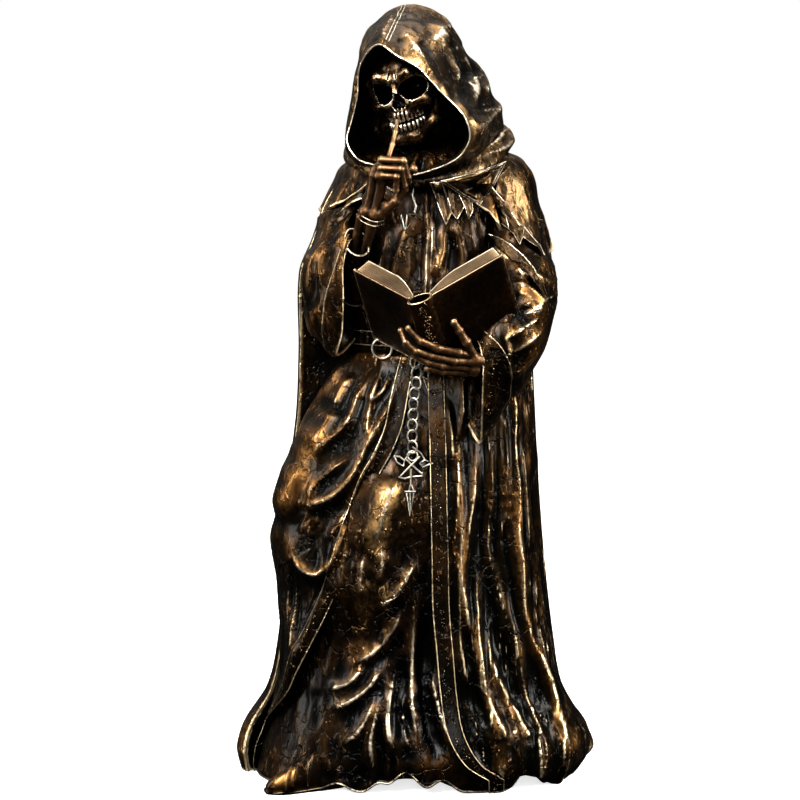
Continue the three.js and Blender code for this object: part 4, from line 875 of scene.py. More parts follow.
# one front panel: its columns run from the front edge back under the cloak; side is 1 on the viewer's right
def makeCoatPanel(name, side, edge, seed):
    right = side > 0
    top = robe["beltHeight"] + 1
    z = np.concatenate([np.arange(0.4, 4, 0.5), np.arange(4, top, coat["rowStep"])])
    h = drawn(np.stack([z * 0, bodyFront(z), z], axis=-1))[1]
    start = angleAt(profile(edge)(h), z)
    end = np.full(z.shape, 0.35 if right else -math.pi - 0.35)
    near = np.linalg.norm(bodyPoint(start + 0.02, z) - bodyPoint(start, z), axis=-1) / 0.02
    fine = np.arange(0, coat["bandWidth"], coat["bandStep"])
    first = start[:, None] + side * fine[None, :] / near[:, None]
    rest = np.linspace(0, 1, coat["columns"])[1:]
    a = np.hstack([first, mix(first[:, -1:], end[:, None], rest[None, :])])
    s = np.repeat(np.concatenate([fine, np.full(len(rest), 99.0)])[None, :], len(z), axis=0)
    if not right:
        a, s = a[:, ::-1], s[:, ::-1]
    p = bodyPoint(a, np.repeat(z[:, None], a.shape[1], axis=1))
    x, y, up = p[..., 0], p[..., 1], p[..., 2]
    drift = lumps(np.cos(a) * 30, np.sin(a) * 30, up / 5, 9.0, seed)
    pleats = 1 - 2 * np.abs(np.sin(coat["pleats"] * a + 1.1 * drift + up / 70)) ** 0.7
    free = smooth(168, 120, up) * (1.0 if right else smooth(70, 40, up))
    creases = worked(p, seed) * (1.0 if right else mix(1.0, 0.35, smooth(84, 100, up)))
    cloth = creases + (0.25 + 0.75 * free) * pleats * coat["pleatRise"]
    hang = 0.4 - np.abs(lumps(x * 1.5, y * 1.5, up * 0.12, 3.6, seed + 9))
    hang *= smooth(0, 6, s - 8) * (1.0 if right else smooth(96, 80, up))
    relief = foldRelief(foldLines(robe["coatFolds"]), p) + hang
    p = embossed(p, relief + cloth * smooth(5.6, 8, s) + 0.35 * smooth(6.2, 5.4, s))
    p = sunk(lifted(p), robe["beltHeight"] - 4, 0.14)
    edgeAt, innerAt = (0, 14) if right else (-1, -15)
    band = p[:, 2:13] if right else p[:, -13:-2]
    marks = strokes(name, coatBronze, band, coat["marks"], seed, coat["markWidth"], coat["markLength"], 0.0)
    trims = [edgeBand(name, coatBronze, coat["edgeBead"], [p[:, edgeAt], p[0] + (0, 0, 0.5)]),
             edgeBand(name, coatBronze, coat["innerBead"], [p[:, innerAt]])]
    calm = np.repeat(smooth(top - 1, top - 7, z)[:, None], p.shape[1], axis=1).ravel()
    parts = together([closeEnds(p, 2.4, [(20 * side, 8, 0.4)]), marks])
    addPiece(name, parts, coatBronze, trims, calm=calm, rub=0.24, crests=robe["coatFolds"])


makeGown()
makeCoatPanel("coat_right_panel", 1, robe["rightEdge"], 3)
makeCoatPanel("coat_left_panel", -1, robe["leftEdge"], 5)
print("stage: gown and coat")

# Cloak behind, with broad pleats down the back
cloak = {
    "outline": [
        [0, -64, 52], [8, -66, 56], [16, -68.5, 65.5], [21, -69.2, 69.8], [30, -66.5, 66], [44, -57.6, 57.5],
        [62, -53.4, 54.3], [90, -51, 51], [120, -50, 48.6], [150, -46.2, 47], [175, -45.2, 46],
        [205, -45, 46], [218, -40, 47], [232, -35, 45], [246, -26, 36]],
    "rows": 215, "columns": 172, "frontReach": 20.0,
}


def makeCloak():
    outline = sides(cloak["outline"], 4)
    z = np.concatenate([np.arange(0.4, 4, 0.6), np.linspace(4, 246, cloak["rows"])])
    angle = np.linspace(-0.12, math.pi + 0.12, cloak["columns"])
    a, zz = np.meshgrid(angle, z)
    pleat = mix(1.2, 3.4, smooth(200, 10, zz)) * smooth(244, 200, zz)
    edge = smooth(0.1, 0.5, np.sin(a))
    waves = 0.6 * np.cos(11 * a + 0.8) + 0.4 * np.cos(17 * a + zz / 90)
    drift = lumps(np.cos(a) * 30, np.sin(a) * 30, zz / 4, 9.0, 2.0)
    crest = 1 - 2 * np.abs(np.sin(5.5 * a + 0.4 + drift * 0.5 + 0.3 * np.sin(zz / 46))) ** 0.8
    p = around(a, zz, outline, robe["axisY"] - cloak["frontReach"], bodyBack(zz) + 3, robe["power"],
               edge * pleat * (waves + 0.35 * crest))
    n = gridNormals(p)
    p = p + n * ((0.5 * drift + worked(p, 8.0)) * edge)[..., None]
    bead = edgeBand("cloak_edge", coatBronze, 0.24, [p[:, 0], p[:, -1], p[0] + (0, 0, 0.5)])
    addPiece("cloak", closeEnds(p, 2.0, [(0, 2, 0.5)]), coatBronze, [bead])


makeCloak()

# Capelet: two ragged tiers over the shoulders
capelet = {
    "outline": [
        [196, -44, 54.5], [205, -43.6, 54.2], [213, -42.7, 53.8], [217, -40, 51.7], [222, -38, 50.5],
        [227, -37.2, 49.3], [231, -35.3, 48.2], [236, -33, 47.4], [241, -30.6, 46.6], [245.5, -28.5, 44.5],
        [250, -23, 40], [254, -16, 32]],
    "front": [[196, -27], [213, -26], [228, -24], [240, -18], [250, -10]],
    "back": [[196, 33], [213, 32], [228, 30], [240, 24], [250, 17]],
    "upperEdge": [[-44, 224], [-36.5, 227.5], [-29.8, 230], [-24.8, 235], [-18, 239], [0, 243], [18, 242],
                  [25, 240], [31.4, 235], [36.5, 227.5], [41.5, 223], [48.6, 216], [52, 213]],
    "lowerEdge": [[-44, 210], [-41.5, 213], [-34, 218.5], [-32.6, 221.5], [-27.9, 228], [-20, 235], [0, 239],
                  [18, 238], [26.5, 229], [31.7, 223.5], [36.9, 219], [43.9, 207], [50, 201]],
    "top": 252.0, "teeth": 32, "columns": 288, "rows": 56,
}


def makeTier(name, frontEdge, backEdge, notch, inset, seed):
    outline, front, back = sides(capelet["outline"], 3), profile(capelet["front"]), profile(capelet["back"])
    angle = np.arange(capelet["columns"]) / capelet["columns"] * 2 * math.pi
    x, y = np.cos(angle), np.sin(angle)
    k = np.arange(capelet["teeth"] + 1)
    tooth = np.where(k % 2 == 0, notch, -notch * (0.4 + 0.6 * np.cos(k * 2.4)))
    tooth[-1] = tooth[0]
    ragged = np.interp(angle / (2 * math.pi) * capelet["teeth"], k, tooth)
    low = np.full(angle.shape, 224.0)
    # the height at which the surface meets the drawn edge
    for _ in range(6):
        px, ph = drawn(around(angle, low, outline, front(low), back(low), 2.2, -inset))
        low = np.clip(low + 0.8 * (frontEdge(px) - ph), 196, 246)
    low = mix(low, backEdge, smooth(-0.1, 0.35, y)) + ragged
    low = 0.25 * np.roll(low, 1) + 0.5 * low + 0.25 * np.roll(low, -1)
    t = np.linspace(0, 1, capelet["rows"])[:, None] ** 0.85
    z = mix(low[None, :], capelet["top"], t)
    a = np.repeat(angle[None, :], len(t), axis=0)
    p = around(a, z, outline, front(z), back(z), 2.2, -inset)
    n = gridNormals(p, True)
    drift = lumps(np.cos(a) * 20, np.sin(a) * 20, z / 3, 7.0, seed)
    folds = np.cos(capelet["teeth"] / 2 * a + drift * 1.4) * 0.9 + 0.6 * np.cos(23 * a + seed + drift * 2)
    p = p + n * (folds * smooth(0.75, 0.0, t) * 0.9 + worked(p, seed + 2))[..., None]
    p = sunk(p, 240, 0.9)
    parts = closeEnds(p, 1.4, [(2, 4, 236), (2, 4, 246)], closed=True)
    addPiece(name, parts, coatBronze, [edgeBand(name, coatBronze, 0.26, [looped(p[0])])])


makeTier("capelet_upper", profile(capelet["upperEdge"]), 222, 1.5, 0.0, 1.0)
makeTier("capelet_lower", profile(capelet["lowerEdge"]), 208, 2.0, 1.6, 4.0)
print("stage: cloak and capelet")

# Hood: matched points of the rim and of the outline, [x, height, depth]
hood = {
    "rim": [[-13.5, 293.6, -25], [-7, 289.3, -28], [3, 283.9, -30], [12.3, 273.4, -33], [20.2, 265, -35],
            [21.8, 257, -35], [17.5, 249.8, -33], [8, 245, -30], [-3, 242.6, -27], [-14, 246, -23],
            [-22, 248.8, -19], [-26.3, 255.5, -15], [-25, 264, -14], [-23, 273, -15], [-22, 283, -17],
            [-18, 291, -21]],
    "outline": [[-7, 307.6, 3], [2, 308.9, 4], [12, 303.5, 5], [21, 288.5, 5], [29, 275.5, 5], [34.4, 264, 4],
                [35, 252, 2], [25, 240, 0], [3, 234, -4], [-14, 238, -2], [-22, 243, 0], [-26.6, 253, 3],
                [-25.6, 265, 5], [-23.8, 275, 5], [-22.2, 285, 5], [-17.6, 298.5, 4]],
    "middle": (2.0, 268.0), "wall": 1.8, "back": 29.5, "columns": 200, "rimBead": 0.27, "seamBead": 0.17,
    "lining": [(0.28, 12), (0.6, 11), (0.74, 9), (0.84, 2), (0.88, -2)],   # share of the rim, depth
    "folds": [
        (1, 1.6, 1.2, [(-5.7, 307.7), (-9.2, 303), (-11.9, 298.7), (-13.5, 293.3)]),
        (2.1, 1.6, 1, [(-5.4, 300), (-1, 293.7), (2.1, 288.5), (5, 283.3), (8.8, 275.8), (11.7, 272.1)]),
        (2.6, 2.0, 1, [(5.8, 302.6), (10.3, 297.4), (11.7, 292.2), (16.2, 281), (19.2, 273.6)]),
        (2.6, 2.0, 1, [(19.2, 289.2), (25.9, 279.6), (27.4, 271.4)]),
        (1.8, 1.4, 1, [(10, 301), (15.5, 293), (20, 284), (23.5, 274), (24.5, 266)]),
        (1.2, 1.4, 1, [(14, 279), (17.4, 271), (21, 264), (25, 259)]),
        (0.6, 0.5, 1, [(5.7, 302), (9.6, 296.8), (11, 289.6), (16, 281.8), (16.6, 275.3)]),
        (0.7, 0.5, 1, [(14.6, 297), (20.2, 286.7), (22.8, 277.4), (24.4, 268.2)]),
        (0.6, 0.5, 1, [(20.9, 281), (23.8, 275.3), (27.9, 269), (29.4, 264)]),
        (1.2, 1.4, 1, [(22, 284), (26.5, 274), (30, 267)]),
        (-1.2, 2.6, 2, [(8.4, 297.6), (13.4, 286.7), (16.4, 275.7), (19.1, 267.2)]),
        (-1.4, 3, 2, [(18.5, 287.4), (22.4, 277.3), (24.8, 267.9)]),
        (0.8, 2.4, 1, [(-15.8, 303), (-18.9, 295.2), (-20.9, 288.2)]),
        (2.0, 2.2, 1, [(28, 271), (31.8, 268.6), (29, 264.9), (25.9, 261.7), (22.2, 256.5)]),
        (1.6, 1.8, 1, [(25, 266), (24.5, 258), (20, 250)]),
        (1.4, 2.4, 1, [(-18.9, 285.1), (-20.5, 275.7), (-21.3, 266), (-23.6, 256.2)]),
    ],
}


def makeHood():
    rim, outline = (curve(hood[k], hood["columns"], True) for k in ("rim", "outline"))
    mx, mh = hood["middle"]

    def towards(ring, share, depth):
        return np.stack([mix(mx, ring[:, 0], share), mix(mh, ring[:, 1], share), np.full(len(ring), depth)],
                        axis=-1)

    inner = [towards(rim, share, depth) for share, depth in hood["lining"]]
    thick = np.stack([mix(mx, rim[:, 0], 0.965), mix(mh, rim[:, 1], 0.965), rim[:, 2] + hood["wall"]],
                     axis=-1)
    inner += [mix(inner[-1], thick, 0.5), thick, mix(thick, rim, 0.5)]
    bulge = profile([[0, 0], [0.16, 0.7], [0.55, 1.6], [1, 0]])
    shell = []
    for t in np.concatenate([np.arange(0, 0.1, 0.02), np.linspace(0.1, 1, 38)]):
        ring = mix(rim, outline, t ** 0.8)
        ring[:, 2] = mix(rim[:, 2], outline[:, 2], t) - bulge(t)
        shell.append(ring)
    for t in np.concatenate([np.linspace(0, 1, 34)[1:-1], [0.985, 0.996]]):
        turn = t * math.pi / 2
        ring = towards(outline, math.cos(turn) ** 0.85, 0)
        ring[:, 2] = outline[:, 2] * (1 - t) + 4 * t + hood["back"] * math.sin(turn)
        shell.append(ring)
    p = np.array([seen(r[:, 0], r[:, 1], r[:, 2]) for r in inner + shell])
    relief = foldRelief(foldLines(hood["folds"]), p)
    relief[:len(inner)] = 0
    n = tubeNormals(p, 60)
    outer = p[len(inner):]
    p = p + n * (relief * smooth(0.5, -0.1, n[..., 1]))[..., None]
    back = np.zeros(p.shape[:2])
    back[len(inner):] = 0.3 * lumps(outer[..., 0] * 0.9, outer[..., 1] * 0.9, outer[..., 2] * 0.35, 8.0, 5.0)
    back = back * smooth(-8, 8, p[..., 1])
    shellRow = np.arange(len(p))[:, None] - len(inner)
    p = p + n * (back + worked(p, 6.0, 0.9) * smooth(1, 7, shellRow))[..., None]
    rimRows = smooth(6, 3, np.abs(shellRow + 1)) + (shellRow > shellRow.max() - 6)
    calm = np.repeat(mix(1.0, 0.0, rimRows), p.shape[1], axis=1).ravel()
    bead = edgeBand("hood_rim", hoodBronze, hood["rimBead"], [looped(p[len(inner)])])
    seam = edgeBand("hood_seam", hoodBronze, hood["seamBead"],
                    [p[len(inner) + 4:len(inner) + 44, k] for k in (3, 5)])
    addPiece("hood", closedLoft(p), hoodBronze, [bead, seam], calm=calm, rub=0.46, crests=hood["folds"])


makeHood()
print("stage: hood")

# Sleeves: rings of ten matched points, from the shoulder to the hanging mouth
sleeves = {
    "raised": [
        [[-22, 230, -12], [-27, 230, -14], [-33, 229, -10], [-37, 227, -2], [-37, 226, 8], [-32, 229, 15],
         [-26, 232, 15], [-22, 234, 8], [-20, 234, 0], [-20, 232, -7]],
        [[-27, 224, -19], [-34, 215, -19], [-40, 205, -16], [-42.5, 195, -9], [-42, 190, 0], [-38, 190, 9],
         [-32, 196, 12], [-27, 206, 10], [-24, 216, 2], [-24, 222, -10]],
        [[-26, 219, -24], [-30.5, 208, -26], [-34.4, 195, -25], [-35.4, 182, -23], [-34, 174, -17],
         [-28, 176, -7], [-24, 184, -1], [-22, 196, 0], [-21, 207, -4], [-22, 215, -15]],
        [[-25, 217.5, -24.5], [-28, 208, -27], [-28, 195, -28], [-28.6, 181, -27], [-30.5, 172.5, -24],
         [-24.5, 177.5, -16], [-20.3, 186, -9], [-19, 196, -7], [-19, 206, -10], [-20.5, 214, -18]]],
    "book": [
        [[30, 229, -13], [38, 228, -17], [46, 226, -12], [50, 225, -2], [48, 227, 10], [41, 231, 16],
         [33, 234, 15], [28, 236, 7], [27, 235, -1], [27, 232, -7]],
        [[34, 208, -26], [43, 206, -29], [51, 203, -22], [54, 199, -10], [52, 195, 2], [45, 192, 9],
         [37, 194, 10], [31, 200, 6], [29, 206, -2], [30, 209, -15]],
        [[33, 189, -38], [41, 186, -40], [49, 181, -35], [51, 176, -24], [47, 170, -13], [40, 166, -4],
         [33, 172, -2], [29, 182, -4], [27, 190, -12], [28, 192, -28]],
        [[28, 181, -41], [34, 175, -43], [37, 166, -40], [36, 156, -34], [32, 147, -28], [28, 149, -20],
         [24, 159, -14], [22, 171, -12], [22, 179, -18], [24, 183, -32]],
        [[25.5, 177, -41], [27, 168, -43], [26.8, 158, -42.5], [26.4, 147, -40], [25.8, 138, -36],
         [21, 146, -28], [17.5, 158, -22], [16.5, 168, -20], [18, 176, -25], [22, 180, -34]]],
    "columns": 132, "rowsPerRing": 30,
    "raisedFolds": [
        (1.8, 2.4, 1, [(-39.6, 213.3), (-41.5, 210.2), (-43.9, 203.2), (-45, 193.8)]),
        (1.8, 2.4, 1, [(-35.3, 214.1), (-38.4, 208.7), (-40.4, 200.8), (-40.8, 191.5)]),
        (1.8, 2.4, 1, [(-31.8, 216.5), (-34.5, 211.8), (-35.7, 207.1), (-36.1, 197.7)]),
        (1.6, 2.2, 1, [(-36.9, 193.8), (-39.2, 183.7), (-40, 176.7)]),
        (2, 2.6, 1, [(-25.2, 193.8), (-26.7, 185.2), (-28.3, 176.3)]),
    ],
    "bookFolds": [
        (1.6, 1.7, 1, [(30.8, 216.4), (34.4, 211.8), (39.9, 207.3), (46.2, 205.5)]),
        (1.9, 1.8, 1, [(36.2, 208.2), (41.7, 203.6), (48, 201.8), (52.6, 196.4)]),
        (1.9, 1.8, 1, [(37.2, 201.8), (42.6, 198.2), (47.3, 193.6), (50.8, 187.3)]),
        (1.8, 1.7, 1, [(38, 198.2), (43.5, 194.6), (47.1, 190), (46.2, 184.6)]),
        (1.6, 1.4, 1, [(40.8, 192.7), (45.3, 190.9), (47.1, 187.3)]),
        (1.8, 1.8, 1, [(33.5, 177.3), (41.7, 182.8), (49, 187.3)]),
        (1.7, 1.7, 1, [(34.4, 171.9), (43.5, 177.3), (49.8, 182.7)]),
        (1.6, 1.7, 1, [(36.2, 162.8), (43.5, 169.2), (49, 176.4)]),
        (1.4, 1.5, 1, [(33.5, 153.7), (39.9, 159.1), (45, 166)]),
        (1.2, 1.2, 1, [(34.5, 182), (36.5, 174), (36, 164), (33, 152)]),
        (2.0, 2.2, 1, [(50.5, 214), (52.4, 204), (53.2, 193), (51, 183)]),
        (1.6, 1.8, 1, [(45, 222), (47.5, 212), (50, 203)]),
        (-1.6, 2.6, 2, [(37.2, 189.2), (41.9, 187.2), (44.3, 181.8)]),
    ],
}


def makeSleeve(name, rings, folds, hollow, seed):
    rings = np.array([curve(r, sleeves["columns"], True) for r in rings])
    rows = []
    last = len(rings) - 1
    for r in range(last):
        q = [rings[min(max(r + o, 0), last)] for o in (-1, 0, 1, 2)]
        for k in range(sleeves["rowsPerRing"]):
            t = k / sleeves["rowsPerRing"]
            rows.append(0.5 * (2 * q[1] + (q[2] - q[0]) * t + (2 * q[0] - 5 * q[1] + 4 * q[2] - q[3]) * t ** 2
                               + (3 * q[1] - q[0] - 3 * q[2] + q[3]) * t ** 3))
    mouth = rings[last]
    rows.append(mouth)
    outside = len(rows)
    centre = mouth.mean(axis=0)
    for share, deeper in ((0.94, 0.0), (0.9, 0.05), (0.86, 0.25), (0.76, 0.6), (0.6, 1.0), (0.3, 1.1)):
        rows.append(mix(centre, mouth, share) + np.array(hollow) * deeper)
    rows = np.array(rows)
    p = seen(rows[..., 0], rows[..., 1], rows[..., 2])
    n = tubeNormals(p, 10)
    relief = foldRelief(foldLines(folds), p)
    bandStart = outside - 1 - sleeves["rowsPerRing"]
    row = np.arange(len(rows))[:, None]
    relief = (relief + worked(p, seed)) * smooth(bandStart + 6, bandStart - 2, row)
    relief = relief + 0.35 * smooth(bandStart - 1, bandStart + 1, row)
    relief = np.where(row < outside, relief, 0)
    p = p + n * (relief * smooth(0.3, -0.2, n[..., 1]))[..., None]
    band = np.swapaxes(p[bandStart + 4:outside - 3], 0, 1)[:70]
    marks = strokes(name, coatBronze, band, 46, seed, 0.2, (0.6, 1.6), 0.05)
    trims = [edgeBand(name, coatBronze, 0.22, [looped(p[outside - 1])]),
             edgeBand(name, coatBronze, 0.18, [looped(p[bandStart])])]
    addPiece(name, together([closedLoft(p), marks]), coatBronze, trims, crests=folds)


makeSleeve("raised_sleeve", sleeves["raised"], sleeves["raisedFolds"], (-6, 10, 6), 11)
makeSleeve("book_sleeve", sleeves["book"], sleeves["bookFolds"], (12, 8, 6), 12)
print("stage: sleeves")


# Solids with bones and knuckles: distance fields turned into meshes

# quads round the zero level of a field, one vertex in each crossed cell
def surfaceNet(field, low, high, cell):
    axes = [np.arange(a, b + cell, cell) for a, b in zip(low, high)]
    grid = np.meshgrid(*axes, indexing="ij")
    f = field(*grid)
    inside = f < 0
    shape = tuple(n - 1 for n in f.shape)
    total = np.zeros(shape + (3,))
    crossings = np.zeros(shape)

    def corner(i, j, k):
        return (slice(i, i + shape[0]), slice(j, j + shape[1]), slice(k, k + shape[2]))
    for axis in range(3):
        for u in (0, 1):
            for v in (0, 1):
                o = [u, v]
                o.insert(axis, 0)
                e = list(o)
                e[axis] = 1
                a, b = f[corner(*o)], f[corner(*e)]
                cut = inside[corner(*o)] != inside[corner(*e)]
                t = np.where(cut, a / np.where(cut, a - b, 1.0), 0)
                for k in range(3):
                    total[..., k] += cut * (t if k == axis else o[k])
                crossings += cut
    active = crossings > 0
    index = np.full(shape, -1)
    index[active] = np.arange(active.sum())
    base = np.stack(np.nonzero(active), axis=-1)
    verts = (base + total[active] / crossings[active][:, None]) * cell + np.array(low)
    quads = []
    for axis in range(3):
        b, c = (axis + 1) % 3, (axis + 2) % 3
        near, far = [slice(None)] * 3, [slice(None)] * 3
        near[axis], far[axis] = slice(0, -1), slice(1, None)
        for k in (b, c):
            near[k] = far[k] = slice(1, -1)
        first, second = inside[tuple(near)], inside[tuple(far)]
        at = np.stack(np.nonzero(first != second), axis=-1)
        flip = first[first != second]
        at[:, b] += 1
        at[:, c] += 1
        ring = []
        for sb, sc in ((1, 1), (0, 1), (0, 0), (1, 0)):
            q = at.copy()
            q[:, b] -= sb
            q[:, c] -= sc
            ring.append(index[tuple(q.T)])
        quad = np.stack(ring, axis=-1)
        quad[~flip] = quad[~flip][:, ::-1]
        quads.append(quad)
    return verts, np.vstack(quads), noTriangles


def softMin(a, b, k):
    h = np.clip(0.5 + 0.5 * (b - a) / k, 0, 1)
    return mix(b, a, h) - k * h * (1 - h)


def egg(x, y, z, middle, radii):
    q = np.sqrt(sum(((v - m) / r) ** 2 for v, m, r in zip((x, y, z), middle, radii)))
    return (q - 1) * min(radii)


# rod between two points; a waist narrows its middle and leaves a knuckle at each end
def rod(x, y, z, a, b, ra, rb, waist=0.0):
    a, b = np.array(a, float), np.array(b, float)
    ab = b - a
    t = np.clip(((x - a[0]) * ab[0] + (y - a[1]) * ab[1] + (z - a[2]) * ab[2]) / (ab @ ab), 0, 1)
    d = np.sqrt((x - a[0] - t * ab[0]) ** 2 + (y - a[1] - t * ab[1]) ** 2 + (z - a[2] - t * ab[2]) ** 2)
    return d - mix(ra, rb, t) * (1 - waist * (1 - np.abs(2 * t - 1) ** 3))


skull = {
    "at": (-2.8, 276.3, -8.5), "turn": 22.0, "lean": 10.5, "nod": 5.0, "cell": 0.3, "backCut": 5.0,
    "box": ((-14, -16, -22), (14, 5.6, 18)),
    # forms melted together in this order: in a pair or not, softness, then the middle and radii of an egg,
    # or the ends and radii of a rod
    "bone": [
        (False, 1.0, (0, 3, 6.0), (11.6, 13.4, 11.5)),                          # braincase
        (False, 1.5, (0, -2.6, 7.6), (10.4, 9.6, 7.6)),                         # forehead
        (False, 2.0, (0, -2.4, -1.0), (10.8, 9.0, 7.8)),                        # face
        (False, 1.4, (0, -5.4, -6.4), (7.4, 6.8, 4.8)),                         # upper jaw
        # brow, and the socket's outer rim
        (True, 1.8, (1.6, -11.6, 5.2), (6.0, -11.4, 7.0), 1.7, 1.9),
        (True, 1.8, (6.0, -11.4, 7.0), (10.8, -7.6, 4.8), 1.9, 1.8),
        (True, 1.6, (10.8, -7.6, 4.8), (11.0, -6.2, -2.6), 1.7, 1.8),
        (True, 1.8, (5.0, -10.2, -4.2), (9.8, -7.8, -4.0), 2.0, 2.4),           # cheekbone and its arch
        (True, 1.2, (9.8, -7.8, -4.0), (11.6, 2.0, -2.2), 2.0, 1.3),
        (False, 1.1, (0, -11.2, 4.6), (0, -13.4, -0.7), 1.5, 1.0)],             # nasal bone
    "jaw": [
        (False, 1.0, (0.4, -8.0, -17.2), (6.4, 4.6, 3.6)),                      # chin
        (False, 1.2, (0, -5.8, -13.6), (6.8, 6.0, 3.2)),                        # tooth row
        (True, 1.6, (3.6, -8.0, -17.6), (9.4, -3.0, -13.0), 2.8, 2.8),          # side, up to the hinge
        (True, 1.2, (9.4, -3.0, -13.0), (11.0, 2.0, -3.0), 2.6, 1.6)],
    "cheekHollow": ((10.2, -6.6, -9.4), (3.0, 5.4, 3.4)), "cheekFolds": 3,
    "socket": ((0, -13.0, 1.0), (4.4, 11.0, 4.5)), "socketLip": 0.26,
    "nose": [((1.2, -13.6, -4.9), (1.7, 4.6, 2.1)), ((0, -13.6, -3.2), (2.1, 4.6, 3.6))], "noseLip": 0.13,
    "browCrease": ((0, -12.4, 6.2), (0.3, 0.9, 2.0)), "bite": -11.35, "biteSize": (10.5, 6.5, 0.45),
    "teeth": 6, "toothStep": 0.24, "toothWidth": 0.7, "toothDepth": 0.95, "smile": 0.035,
    # height, half length, how far out
    "upperTeeth": (-9.1, 2.0, 0.7), "lowerTeeth": (-13.4, 1.6, 0.8),
}


def melted(forms, x, y, z):
    total = np.full(x.shape, 99.0)
    for paired, soft, *form in forms:
        shape = egg if len(form) == 2 else rod
        total = softMin(total, shape(np.abs(x) if paired else x, y, z, *form), soft)
    return total


def skullField(x, y, z):
    ax = np.abs(x)
    bone, jaw = melted(skull["bone"], x, y, z), melted(skull["jaw"], x, y, z)
    # folds from the cheekbone down to the teeth, and sinews on the chin
    for k in range(skull["cheekFolds"]):
        top, low = (4.8 + 1.4 * k, -11.0 + 0.9 * k, -4.6), (3.6 + 1.2 * k, -11.3 + 0.8 * k, -8.0)
        bone = softMin(bone, rod(ax, y, z, top, low, 0.75, 0.6), 0.35)
        low, top = (1.2 + 2.0 * k, -11.4 + 0.9 * k, -17.2 + 0.7 * k), (0.8 + 2.0 * k, -10.8 + 0.8 * k, -13.6)
        jaw = softMin(jaw, rod(ax, y, z, low, top, 0.6, 0.5), 0.4)
    bone = np.minimum(np.maximum(bone, -egg(ax, y, z, *skull["cheekHollow"])), jaw)
    sx = np.where(x > 0, (ax - 6.9) / 1.3, ax - 6.0)                # the nearer socket is the wider one
    socket = egg(sx, y, z - 0.1 * (ax - 6.2), *skull["socket"])
    socket = np.maximum(socket, z + 0.34 * (4.6 - ax) - 4.3)
    nose = np.minimum(egg(ax, y, z - 0.35 * ax, *skull["nose"][0]), egg(x, y, z, *skull["nose"][1]))
    # thin raised lip round each hole
    for hole, lip in ((socket, skull["socketLip"]), (nose, skull["noseLip"])):
        bone = softMin(bone, np.hypot(np.maximum(hole, -0.3), np.maximum(bone, -0.3)) - lip, 0.15)
    bone = np.maximum(np.maximum(bone, -socket), -nose)
    bone = np.maximum(bone, -egg(x, y, z - skull["smile"] * x * x, (0, -9, skull["bite"]), skull["biteSize"]))
    for side in (-1, 1):                                             # creases between the brows
        crease = x - side * 1.4 + 0.2 * side * (z - 7)
        bone = np.maximum(bone, -egg(crease, y, z, *skull["browCrease"]))
    for row, (height, tall, out) in ((1, skull["upperTeeth"]), (-1, skull["lowerTeeth"])):
        for k in range(-skull["teeth"], skull["teeth"]):
            turn = (k + 0.5) * skull["toothStep"]
            c, s = math.cos(turn), math.sin(turn)
            at = ((6.0 + out) * s, -5.0 - (6.2 + out) * c, height + skull["smile"] * (6.0 * s) ** 2)
            u, v = (x - at[0]) * c + (y - at[1]) * s, -(x - at[0]) * s + (y - at[1]) * c
            sizes = ((u, skull["toothWidth"]), (v, skull["toothDepth"]), (z - at[2], tall))
            q = sum(np.abs(way / size) ** 3 for way, size in sizes) ** (1 / 3)
            bone = np.minimum(bone, (q - 1) * 0.75)
            root = ((5.8 + out) * s, -4.8 - (6.1 + out) * c, at[2] + row * (tall + 1.3))
            bone = softMin(bone, rod(x, y, z, (at[0], at[1], at[2] + row * 1.0), root, 0.5, 0.25), 0.3)
    return np.maximum(bone, y - skull["backCut"])


def makeSkull():
    verts, quads, tris = surfaceNet(skullField, *skull["box"], skull["cell"])
    nod, turn, lean = (math.radians(v) for v in (skull["nod"], -skull["turn"], -skull["lean"]))
    rx = np.array([[1, 0, 0], [0, math.cos(nod), -math.sin(nod)], [0, math.sin(nod), math.cos(nod)]])
    rz = np.array([[math.cos(turn), -math.sin(turn), 0], [math.sin(turn), math.cos(turn), 0], [0, 0, 1]])
    ry = np.array([[math.cos(lean), 0, math.sin(lean)], [0, 1, 0], [-math.sin(lean), 0, math.cos(lean)]])
    verts = verts @ (ry @ rz @ rx).T + seen(*skull["at"])
    lit = -0.1 + 0.9 * smooth(283, 270, verts[:, 2])
    addPiece("skull", (verts, quads, tris), boneBronze, fine=6, broad=60, angle=180, polish=False, lift=lit)


makeSkull()

